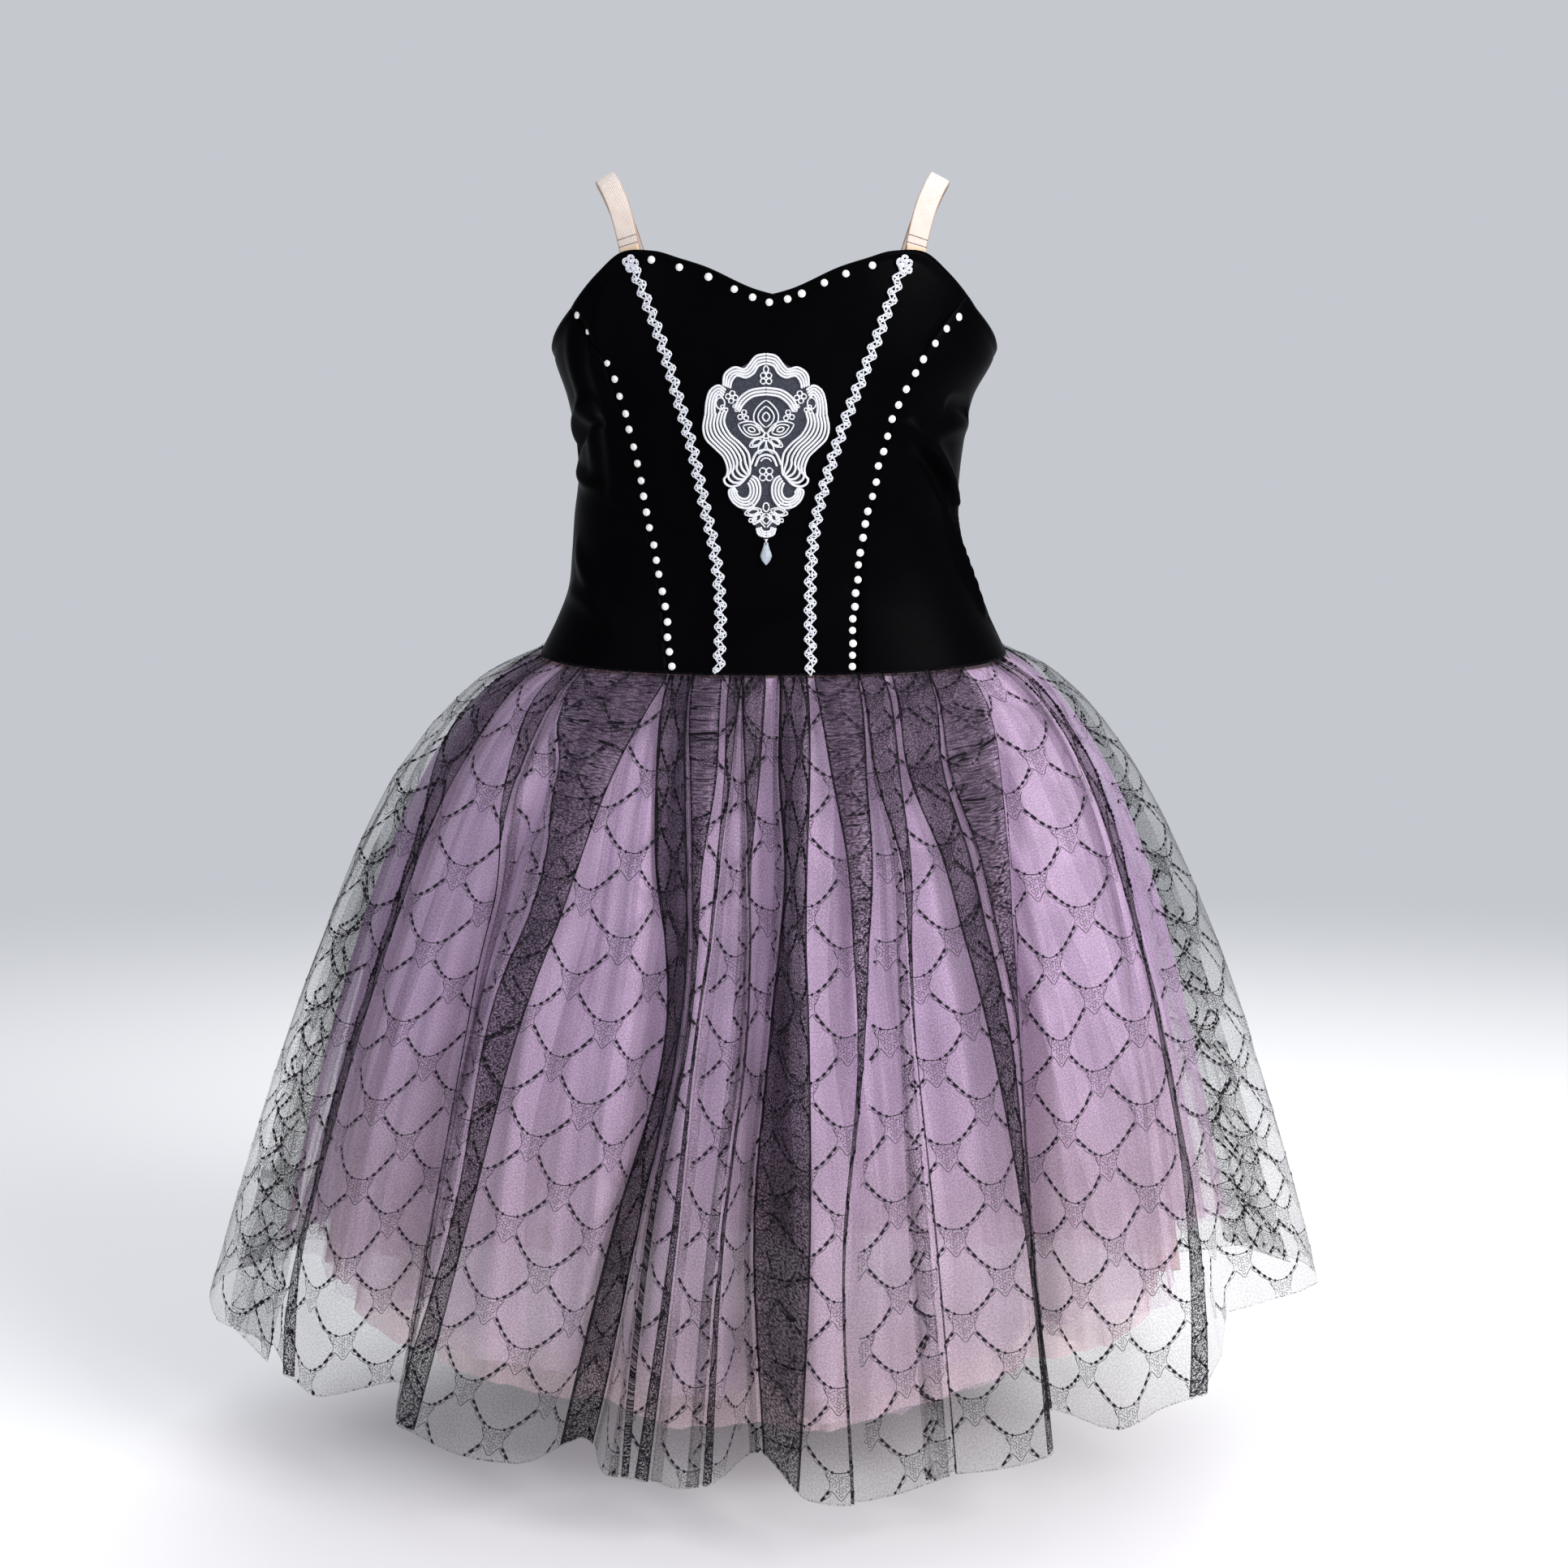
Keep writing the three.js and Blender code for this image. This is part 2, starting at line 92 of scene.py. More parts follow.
def add_node(material, kind, inputs=None, **settings):
    """Adds one node. An input is given by its name or number, as a value or another socket."""
    node = material.node_tree.nodes.new(kind)
    for name, value in settings.items():
        setattr(node, name, value)
    for name, value in (inputs or {}).items():
        if isinstance(value, bpy.types.NodeSocket):
            material.node_tree.links.new(value, node.inputs[name])
        else:
            node.inputs[name].default_value = value
    return node


def new_material(name):
    material = bpy.data.materials.new(name)
    material.use_nodes = True
    material.node_tree.nodes.clear()
    return material


def finish_material(material, shader):
    add_node(material, "ShaderNodeOutputMaterial", {"Surface": shader.outputs[0]})
    return material


def ranged(material, value, low, high, to_low, to_high, **settings):
    """A value moved from one range to another."""
    return add_node(
        material, "ShaderNodeMapRange",
        {"Value": value, "From Min": low, "From Max": high, "To Min": to_low, "To Max": to_high},
        **settings).outputs[0]


bpy.ops.object.select_all(action="DESELECT")
bpy.ops.mesh.primitive_circle_add(
    vertices=96, radius=FLOOR_RADIUS, fill_type="NGON", location=(0, 0, FLOOR_Z))
floor = bpy.context.object
floor.name = "floor"
paper = new_material("matt_paper_floor")
place = add_node(paper, "ShaderNodeTexCoord")
flat = add_node(paper, "ShaderNodeMapping", {"Vector": place.outputs["Object"], "Scale": (SIDEWAYS, 1, 0)})
away = add_node(paper, "ShaderNodeVectorMath", {0: flat.outputs[0]}, operation="LENGTH")
# Painted fall-off of light: lit white near the dress, blending far off into an emitting glow of the backdrop
# colour
painted_falloff = ranged(
    paper, away.outputs["Value"], GREYS_FROM, GREY_AT, 0, 1, interpolation_type="SMOOTHSTEP")
white = add_node(
    paper, "ShaderNodeBsdfPrincipled",
    {"Base Color": linear("#F2F3F5"), "Roughness": 0.8, "Specular IOR Level": 0.2})
backdrop_glow = add_node(paper, "ShaderNodeEmission", {"Color": linear(BACKDROP), "Strength": 1.0})
floor.data.materials.append(finish_material(paper, add_node(
    paper, "ShaderNodeMixShader", {0: painted_falloff, 1: white.outputs[0], 2: backdrop_glow.outputs[0]})))

world = bpy.data.worlds.new("studio")
bpy.context.scene.world = world
world.use_nodes = True
backdrop = world.node_tree.nodes["Background"]
backdrop.inputs["Color"].default_value = linear(BACKDROP)
seen = add_node(world, "ShaderNodeLightPath")
strength = ranged(world, seen.outputs["Is Camera Ray"], 0, 1, WALL_LIGHT, 1)
world.node_tree.links.new(strength, backdrop.inputs["Strength"])

MIDDLE_Z = -0.35
# name, place, size in metres, watts, colour: the key is high at the front right
soft_boxes = [
    ("key", (2.3, -1.8, 1.4), 1.5, 112, "#FFFBFA"),
    ("fill", (-2.0, -2.1, 0.8), 1.8, 20, "#F6F6FF"),
    ("back", (0.4, 2.4, 1.7), 1.8, 30, "#FFFFFF"),
    ("above", (0.2, 1.0, 2.5), 1.6, 34, "#FFFFFF"),
    ("low", (0.3, -1.9, -0.35), 1.4, 6, "#FFF4F6"),
]
for name, place, size, watts, colour in soft_boxes:
    lamp = bpy.data.lights.new(name, "AREA")
    lamp.size = size
    lamp.energy = watts
    lamp.color = linear(colour)[:3]
    stand = link_object(name, lamp)
    stand.location = place
    towards = Vector((0, 0, MIDDLE_Z)) - Vector(place)
    stand.rotation_euler = towards.to_track_quat("-Z", "Y").to_euler()

# ---------------------------------------------------------------- velvet bodice
# Four panels of black stretch velvet sewn at the princess and side seams, with the top edge
# turned under, pulled into soft drag lines where it fits close.
VELVET = 1.5  # all cloth sizes are in mm, and turns in degrees from the centre front to +X
BODICE_END = -304.25
BODY_ROUND = 0.87  # 1 would be an ellipse, less is squarer
SIDE_SEAM = 95
PRINCESS_TOP = -84.5
SEAM_GAP = 0.3
SEAM_SUNK = 1.1
SEAM_HALF_WIDTH = 1.8
SEAM_FADES_IN = 9  # below the top edge
EDGE_ROLL, ROLL_AT, ROLL_HALF_WIDTH = 0.9, 2.2, 2
HEM_STITCH_SUNK, HEM_STITCH_AT, HEM_STITCH_HALF_WIDTH = 0.5, 6.5, 1.2
CALM_AT_EDGE, CALM_AT_WAIST = 14, 6  # the drag lines die out within these

# half sizes of the bodice at heights
body = {
    "z": [-305, -282, -262, -240, -215, -190, -165, -140, -114, -80, -48],
    "left": [150, 138.5, 131, 128.5, 126.5, 123.5, 125, 130, 138, 139, 138],
    "right": [151, 140, 131, 123, 118, 119, 122, 127, 140, 140, 139],
    "front": [92, 87, 83, 81, 81, 83, 86, 88, 88, 85, 79],
    "back": [94, 88, 81, 76, 74, 75, 78, 80, 81, 80, 76],
}
top_edge = {
    "turn": [0, 4, 13, 21, 28, 38.5, 47, 58, 62, 74, 84, 95, 115, 140, 180],
    "z": [-73, -69, -58, -52, -48, -49, -60.5, -78, -84.5, -98, -107, -115, -127, -140, -150],
}
princess_seam = {
    "z": [-305, -261, -218, -171, -148, -127, -110, -84.5],
    "left": [64.5, 69.3, 77.6, 86.7, 91.6, 98.5, 105, 124],
    "right": [51, 53, 58.6, 69, 76, 85.5, 96, 119],
}
# Drag lines: from one turn and height to another, bent by bow mm, with half width and height
# in mm. A minus height is a trough.
velvet_creases = [
    (37, -150, 84, -283, -21, 6.5, 4.6), (42, -168, 86, -291, -19, 5, -3.2),
    (63, -198, 78, -279, -3, 3.6, 3.2), (70, -205, 83, -262, -2, 4, -2.6),
    (78, -150, 55, -140, 2, 4, -2.2), (84, -158, 50, -160, 3, 6, 1.6),
    (-46, -62, -50, -205, 3, 9, 1.8), (-60, -75, -62, -190, 2, 9, 1.4),
    (-84, -176, -50, -150, -4, 3.6, -2.8), (-84, -168, -52, -136, -4, 5, 2.2),
    (-84, -184, -56, -192, 3, 5, 2.0), (-80, -262, -40, -280, -5, 6, 1.4),
    (-76, -230, -50, -262, 4, 7, 1.2), (20, -255, -12, -296, 5, 7, 0.9),
    (100, -158, 128, -150, 3, 4, -2.4), (100, -168, 135, -176, -4, 6, 2.0),
    (108, -200, 122, -280, 6, 7, 2.4), (150, -235, 205, -240, 7, 6, 1.8),
    (148, -252, 210, -256, 9, 5, -2.0), (160, -276, 200, -270, -6, 6, 1.8),
    (258, -164, 226, -152, -3, 4, -2.4), (256, -180, 222, -186, 4, 7, 2.0),
    (246, -205, 236, -282, 5, 7, 2.2), (180, -160, 178, -225, 3, 8, 1.2),
]
MM_PER_TURN = 2.0
CREASE_DEPTH = 1.9  # all of them deepened alike


def lerp(a, b, share):
    return a + (b - a) * share


def power(value, exponent):
    return np.sign(value) * np.abs(value) ** exponent


def read(table, key, column, at):
    """Value of a column at a place in a table, smooth through the rows."""
    x = np.array(table[key], float)
    y = np.array(table[column], float)
    low = np.maximum(np.arange(len(x)) - 1, 0)
    high = np.minimum(np.arange(len(x)) + 1, len(x) - 1)
    slope = (y[high] - y[low]) / (x[high] - x[low])
    at = np.clip(at, x[0], x[-1])
    i = np.clip(np.searchsorted(x, at) - 1, 0, len(x) - 2)
    span = x[i + 1] - x[i]
    u = (at - x[i]) / span
    ends = (u ** 3 - 2 * u * u + u) * slope[i] + (u ** 3 - u * u) * slope[i + 1]
    return lerp(y[i], y[i + 1], 3 * u * u - 2 * u ** 3) + ends * span


def half_width(way, z):
    """Half width of the bodice at a height, on the side that the sign of way tells."""
    return np.where(np.asarray(way) < 0, read(body, "z", "left", z), read(body, "z", "right", z))


def bodice_point(turn, z):
    """Point on the velvet's outer face."""
    sine = np.sin(np.radians(turn))
    cosine = np.cos(np.radians(turn))
    depth = np.where(cosine > 0, read(body, "z", "front", z), read(body, "z", "back", z))
    return np.stack(np.broadcast_arrays(
        half_width(sine, z) * power(sine, BODY_ROUND), -depth * power(cosine, BODY_ROUND), z), axis=-1)


def turn_at(x, z):
    """Turn at which the bodice is x mm from the centre line at height z."""
    return np.degrees(np.arcsin(power(x / half_width(x, z), 1 / BODY_ROUND)))


def turn_from(turn, start):
    """How far a turn lies from another, the short way round."""
    return (turn - start + 180) % 360 - 180


def outward(points):
    """Unit normals of a grid of points, rows down and columns to +X seen from the front."""
    normal = np.cross(np.gradient(points, axis=0), np.gradient(points, axis=1))
    return normal / np.maximum(np.linalg.norm(normal, axis=-1, keepdims=True), 1e-9)


def cloth_uv(points):
    """Place on the cloth in metres, measured along the grid's rows and columns."""
    across = np.linalg.norm(np.diff(points, axis=1), axis=-1).mean(axis=0)
    down = np.linalg.norm(np.diff(points, axis=0), axis=-1).mean(axis=1)
    u, v = np.meshgrid(np.append(0, np.cumsum(across)), np.append(0, -np.cumsum(down)))
    return np.stack([u, v], axis=-1) / 1000


def link_mesh(name, points, faces, corner_uv, material):
    """A smooth mesh of points in mm, with a UV for each corner of each face."""
    mesh = bpy.data.meshes.new(name)
    faces = faces if isinstance(faces, list) else faces.tolist()
    mesh.from_pydata((points.reshape(-1, 3) / 1000).tolist(), [], faces)
    mesh.uv_layers.new(name="cloth").data.foreach_set("uv", corner_uv.ravel())
    mesh.shade_smooth()
    mesh.materials.append(material)
    return link_object(name, mesh)


def grid_corners(rows, columns):
    """Row and column of the four corners of every cell of a grid."""
    j, i = np.meshgrid(np.arange(rows), np.arange(columns), indexing="ij")
    return [(j, i), (j + 1, i), (j + 1, i + 1), (j, i + 1)]


def sheet(name, points, material, uv=None, wraps=False):
    """A sheet over a grid of points. With wraps, the last column meets the first, and uv has
    one column more than the points."""
    rows, columns = points.shape[:2]
    uv = cloth_uv(points) if uv is None else uv
    corners = grid_corners(rows - 1, columns if wraps else columns - 1)
    faces = np.stack([row * columns + column % columns for row, column in corners], axis=-1)
    corner_uv = np.stack([uv[row, column] for row, column in corners], axis=2)
    return link_mesh(name, points, faces.reshape(-1, 4), corner_uv, material)


def modify(piece, kind, **settings):
    """Adds a modifier and applies it."""
    modifier = piece.modifiers.new(kind, kind)
    for name, value in settings.items():
        setattr(modifier, name, value)
    bpy.context.view_layer.objects.active = piece
    bpy.ops.object.modifier_apply(modifier=modifier.name)


def crease_height(turn, z):
    """Height of the drag lines, in mm off the panel's plain surface."""
    height = 0
    for turn_a, z_a, turn_b, z_b, bow, width, peak in velvet_creases:
        way = np.array([(turn_b - turn_a) * MM_PER_TURN, z_b - z_a], float)
        length = np.hypot(*way)
        place = np.stack([turn_from(turn, turn_a) * MM_PER_TURN, z - z_a], axis=-1)
        along = place @ way / length ** 2
        aside = (place[..., 0] * way[1] - place[..., 1] * way[0]) / length
        aside = aside - bow * 4 * along * (1 - along)
        reach = np.clip(along, 0, 1)
        fades = np.clip(4 * reach * (1 - reach), 0, 1) ** 0.6
        height = height + CREASE_DEPTH * peak * fades * np.exp(-(aside / width) ** 2)
    return height


def solid_place(material):
    return add_node(material, "ShaderNodeTexCoord").outputs["Object"]


def noise(material, place, scale, detail, **settings):
    """The grey value of a noise at a place."""
    return add_node(
        material, "ShaderNodeTexNoise", {"Vector": place, "Scale": scale, "Detail": detail},
        **settings).outputs["Fac"]


def blended(material, factor, first, second):
    """A colour between two, each given in hex or as a socket."""
    first, second = [linear(end) if isinstance(end, str) else end for end in (first, second)]
    return add_node(
        material, "ShaderNodeMix", {"Factor": factor, "A": first, "B": second},
        data_type="RGBA").outputs["Result"]


def relief(material, height, strength, distance):
    return add_node(
        material, "ShaderNodeBump",
        {"Height": height, "Strength": strength, "Distance": distance}).outputs[0]


def principled(material, colour, roughness, **others):
    """Ends a material with one shader. The other sockets are given by name, _ for a space."""
    values = {"Base Color": linear(colour) if isinstance(colour, str) else colour, "Roughness": roughness}
    values.update({name.replace("_", " "): value for name, value in others.items()})
    return finish_material(material, add_node(material, "ShaderNodeBsdfPrincipled", values))


# Velvet: cut pile that stands up from a knit back, so it is dead black face on and shows a
# faint cold sheen where it turns away, with a short uneven nap.
velvet = new_material("cut_pile_velvet")
place = solid_place(velvet)
nap = blended(velvet, noise(velvet, place, 42, 4), "#020203", "#050507")
principled(
    velvet, nap, 0.36, Specular_IOR_Level=0.01, Sheen_Weight=0.01, Sheen_Roughness=0.3,
    Sheen_Tint=linear("#B4B8D2"), Normal=relief(velvet, noise(velvet, place, 1400, 2), 0.35, 0.0003))


def princess_turn(side, v):
    z = lerp(PRINCESS_TOP, BODICE_END, v)
    away = read(princess_seam, "z", side, z)
    return turn_at(-away if side == "left" else away, z)


def front_turn(u, v):
    return np.abs(u) * np.where(u < 0, princess_turn("left", v), princess_turn("right", v))


def velvet_panel(node, piece_name, us, rows, turn_of):
    """One panel, over its CAD wall, with its seams sunk and its top edge rolled."""
    u, v = np.meshgrid(us, np.linspace(0, 1, rows))
    turn = turn_of(u, v)
    top = read(top_edge, "turn", "z", np.abs(turn_from(turn_of(u, 0 * v), 0)))
    z = lerp(top, BODICE_END, v)
    plain = bodice_point(turn, z)
    across = np.linalg.norm(np.diff(plain, axis=1), axis=-1)
    from_start = np.cumsum(np.pad(across, ((0, 0), (1, 0))), axis=1)
    to_seam = np.minimum(from_start, from_start[:, -1:] - from_start)
    down = np.linalg.norm(np.diff(plain, axis=0), axis=-1)
    from_top = np.cumsum(np.pad(down, ((1, 0), (0, 0))), axis=0)
    calm = np.clip(from_top / CALM_AT_EDGE, 0, 1)
    calm = calm * np.clip((from_top[-1] - from_top) / CALM_AT_WAIST, 0, 1)
    height = crease_height(turn, z) * calm
    sunk = SEAM_SUNK * np.clip(from_top / SEAM_FADES_IN, 0.1, 1)
    height = height - sunk * np.exp(-(to_seam / SEAM_HALF_WIDTH) ** 2)
    height = height + EDGE_ROLL * np.exp(-((from_top - ROLL_AT) / ROLL_HALF_WIDTH) ** 2)
    height = height - HEM_STITCH_SUNK * np.exp(
        -((from_top - HEM_STITCH_AT) / HEM_STITCH_HALF_WIDTH) ** 2)
    points = plain + outward(plain) * height[..., None]
    panel = sheet(piece_name, points, velvet)
    modify(panel, "SOLIDIFY", thickness=VELVET / 1000, offset=-1)
    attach(panel, "dress")
    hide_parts(node)
    return panel


velvet_panel("bodice_front", "velvet_front", np.linspace(-1, 1, 151), 110, front_turn)
velvet_panel(
    "bodice_side_right", "velvet_side_right", np.linspace(0, 1, 46), 110,
    lambda u, v: lerp(princess_turn("right", v), SIDE_SEAM, u))
velvet_panel(
    "bodice_side_left", "velvet_side_left", np.linspace(-1, 0, 46), 110,
    lambda u, v: lerp(princess_turn("left", v), -SIDE_SEAM, -u))
velvet_panel(
    "bodice_back", "velvet_back", np.linspace(0, 1, 111), 84,
    lambda u, v: lerp(SIDE_SEAM, 360 - SIDE_SEAM, u) + 0 * v)

# ---------------------------------------------------------------- straps
# Satin-faced elastic, 13.5 mm wide, sewn inside the front peak with its cut end folded over,
# passed over the shoulder and sewn inside the back.
STRAP_WIDTH = 13.5
ELASTIC = 1.2
STRAP_ROWS = 190
strap_route = {
    "place": list(range(13)),
    "x": [86, 87, 92.5, 98.5, 103, 105, 105, 101, 94, 85, 78, 74, 72],
    "y": [-63.8, -62.6, -52, -36, -16, 2, 20, 36, 50, 60, 65, 66, 66.2],
    "z": [-61, -46.5, -25, -12, -6, -4.5, -8, -18, -38, -70, -106, -138, -150],
    "yaw": [21.5, 20, 12, 5, 0, 0, 0, -3, -8, -14, -18, -19.5, -19.5],
    "tilt": [0, 1, 6, 15, 24, 27, 24, 16, 9, 4, 1, 0, 0],
}
STITCH_LENGTH = 1.5
STITCH_WIDTH = 0.4
STITCH_ROWS = (1.10, 1.30)  # places along the strap, as in its route
STITCHES = 7
STITCH_REACH = 5.6
STITCH_LIFT = 0.1
FOLD_FROM, FOLD_TO = 0.86, 1.02
FOLD_SHARE = 0.94  # of the strap's width
FOLD_LIFT = 0.9
FOLD_TAPE = 0.8
STRAP_CROWN = 0.25  # its edges lie this much lower


def cloth_place(material):
    return add_node(material, "ShaderNodeUVMap", uv_map="cloth").outputs[0]


def wave(material, place, scale, distortion, way):
    return add_node(
        material, "ShaderNodeTexWave", {"Vector": place, "Scale": scale, "Distortion": distortion},
        wave_type="BANDS", bands_direction=way).outputs["Fac"]


def maths(material, operation, *values, **settings):
    return add_node(
        material, "ShaderNodeMath", dict(enumerate(values)), operation=operation, **settings).outputs[0]


# Elastic: rubber cores under a satin of nude nylon, so it is smooth and slightly shiny along
# its length, with fine lengthwise ribs and a flat woven edge.
elastic = new_material("woven_satin_elastic")
place = cloth_place(elastic)
weave = maths(
    elastic, "ADD", wave(elastic, place, 300, 0.2, "X"), wave(elastic, place, 420, 1.5, "Y"))
across = add_node(elastic, "ShaderNodeSeparateXYZ", {0: place}).outputs["X"]
aside = maths(elastic, "ABSOLUTE", maths(elastic, "SUBTRACT", across, STRAP_WIDTH / 2000))
edge = ranged(elastic, aside, 0.0058, 0.0064, 0, 1, interpolation_type="SMOOTHSTEP")
satin = blended(elastic, noise(elastic, place, 120, 3), "#E6DBD2", "#D3C3B7")
principled(
    elastic, blended(elastic, edge, satin, "#A98E7C"), 0.42, Sheen_Weight=0.15,
    Normal=relief(elastic, weave, 0.5, 0.0002))

stitch_thread = new_material("grey_brown_sewing_thread")
principled(stitch_thread, "#6F6560", 0.7)
folded_tape = new_material("beige_folded_tape")
principled(folded_tape, "#DCC3A4", 0.6)


def unit(vectors):
    return vectors / np.linalg.norm(vectors, axis=-1, keepdims=True)


def strap_points(side, places, offsets, lift=0.0):
    """Points of a strap's upper face, at places along it and mm across it."""
    centre = np.stack([read(strap_route, "place", axis, places) for axis in "xyz"], axis=-1)
    along = unit(np.gradient(centre, axis=0))
    yaw = np.radians(read(strap_route, "place", "yaw", places))
    tilt = np.radians(read(strap_route, "place", "tilt", places))
    width_way = np.stack([np.cos(yaw) * np.cos(tilt), np.sin(yaw) * np.cos(tilt), -np.sin(tilt)], axis=-1)
    width_way = unit(width_way - along * np.sum(along * width_way, axis=-1, keepdims=True))
    face = unit(np.cross(width_way, along))
    crown = lift - STRAP_CROWN * (2 * offsets / STRAP_WIDTH) ** 4
    points = centre[:, None] - width_way[:, None] * offsets[None, :, None]
    points = points + face[:, None] * crown[None, :, None]
    points[..., 0] *= side
    return points if side > 0 else points[:, ::-1]


def box_mesh(name, boxes, material):
    """Small blocks joined in one mesh: each is (centre, half length vector, half width vector,
    half height vector) in mm."""
    signs = np.array([(a, b, c) for c in (-1, 1) for b in (-1, 1) for a in (-1, 1)], float)
    quads = np.array([(0, 2, 3, 1), (4, 5, 7, 6), (0, 1, 5, 4), (2, 6, 7, 3), (0, 4, 6, 2), (1, 3, 7, 5)])
    points = np.concatenate([centre + signs @ np.stack([a, b, c]) for centre, a, b, c in boxes])
    faces = np.concatenate([quads + 8 * n for n in range(len(boxes))])
    return link_mesh(name, points, faces, np.zeros((len(faces), 4, 2)), material)


for side, word in ((-1, "left"), (1, "right")):
    places = np.linspace(0, 12, STRAP_ROWS)
    offsets = np.linspace(-0.5, 0.5, 13) * STRAP_WIDTH
    points = strap_points(side, places, offsets)
    strap = sheet(f"elastic_strap_{word}", points, elastic)
    modify(strap, "SOLIDIFY", thickness=ELASTIC / 1000, offset=-1)
    modify(strap, "BEVEL", width=0.0003, segments=2, limit_method="ANGLE")
    strap.data.shade_smooth()
    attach(strap, "dress")
    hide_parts(f"strap_{word}")

    stitches = []
    for place in STITCH_ROWS:
        for n in range(STITCHES):
            offset = np.array([lerp(-STITCH_REACH, STITCH_REACH, n / (STITCHES - 1))])
            step = np.array([place, place + 0.02])
            spot = strap_points(side, step, offset, STITCH_LIFT)[:, 0]
            way = strap_points(side, step, offset + 0.5, STITCH_LIFT)[:, 0] - spot
            across_way = unit(way[0])
            down_way = unit(spot[1] - spot[0])
            face_way = unit(np.cross(across_way, down_way))
            stitches.append((
                spot[0], across_way * STITCH_LENGTH / 2, down_way * STITCH_WIDTH / 2,
                face_way * STITCH_WIDTH / 2))
    seam = box_mesh(f"strap_stitches_{word}", stitches, stitch_thread)
    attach(seam, "dress")

    tab_points = strap_points(side, np.linspace(FOLD_FROM, FOLD_TO, 12), offsets * FOLD_SHARE, FOLD_LIFT)
    tab = sheet(f"strap_fold_{word}", tab_points, folded_tape)
    modify(tab, "SOLIDIFY", thickness=FOLD_TAPE / 1000, offset=-1)
    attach(tab, "dress")

# ---------------------------------------------------------------- gimp braids
# Two runs of looped gimp, a flat white and silver ribbon of three cords bent into a wave of
# 8.7 mm, sewn over the velvet from the straps' feet to the waist and looped double at the top.
LAID_ON = 1.0
WAVE_LENGTH = 8.7
WAVE_REACH = 2.1
WAVE_LEAN = 0.55
CORD_OFFSET = 1.55
CORD_RADIUS = 0.5
CORD_LIFT = 0.45
LOOP_OFFSET = 0.8  # of the outer cords' offset
LOOPS_A_WAVE = 4.3
LOOP_LIFT = 0.75
KNOT_LIFT, KNOT_WAVE = 0.9, 0.25
CORD_TIP = 0.55  # of the radius, at a cord's ends
BRAID_TOP, BRAID_FOOT = -54.5, -303
BRAID_STEPS = 900
braid_line = {
    "z": [-303, -263, -230, -202, -165, -134, -100, -52],
    "left": [33, 32, 35.3, 41.2, 48.8, 57.3, 67.4, 86],
    "right": [23.5, 22.9, 23.9, 28, 38.3, 49.2, 62.5, 80],
}

# Gimp: viscose cords spun with a thread of flat silver, white with a slight metal glint.
gimp = new_material("silver_spun_viscose")
twist = wave(gimp, cloth_place(gimp), 330, 0.4, "DIAGONAL")
principled(
    gimp, blended(gimp, twist, "#B9C0CC", "#FBFCFF"), 0.42, Metallic=0.12,
    Normal=relief(gimp, twist, 0.6, 0.0002))


def on_front(x, z, lift):
    """Points above the velvet's plain face, at distances from the centre line."""
    base = bodice_point(turn_at(x, z), z)
    right = bodice_point(turn_at(x + 1, z), z) - bodice_point(turn_at(x - 1, z), z)
    below = bodice_point(turn_at(x, z - 1), z - 1) - bodice_point(turn_at(x, z + 1), z + 1)
    return base + unit(np.cross(below, right)) * np.asarray(lift)[..., None]


def tubes(name, paths, radius, material, sides=6):
    """Round cords with closed ends along paths of points in mm, joined in one mesh."""
    all_points, all_faces, all_uv = [], [], []
    start = 0
    for path in paths:
        count = len(path)
        along = unit(np.gradient(path, axis=0))
        aside = unit(np.cross(along, np.array([0.01, -1.0, 0.02])))
        face = np.cross(aside, along)
        angle = np.linspace(0, 2 * math.pi, sides, endpoint=False)
        ring = aside[:, None] * np.cos(angle)[None, :, None] + face[:, None] * np.sin(angle)[None, :, None]
        girth = np.full(count, radius)
        girth[[0, -1]] *= CORD_TIP
        points = path[:, None] + ring * girth[:, None, None]
        corners = grid_corners(count - 1, sides)
        faces = np.stack([start + row * sides + column % sides for row, column in corners], axis=-1)
        length = np.append(0, np.cumsum(np.linalg.norm(np.diff(path, axis=0), axis=-1))) / 1000
        uv = np.stack([
            np.stack([length[row], column * radius / 1000], axis=-1) for row, column in corners], axis=2)
        first_end = start + np.arange(sides)
        last_end = (first_end + (count - 1) * sides)[::-1]
        all_points.append(points.reshape(-1, 3))
        all_faces += faces.reshape(-1, 4).tolist() + [first_end.tolist(), last_end.tolist()]
        all_uv += [uv.reshape(-1, 2), np.zeros((2 * sides, 2))]
        start += count * sides
    return link_mesh(name, np.concatenate(all_points), all_faces, np.concatenate(all_uv), material)


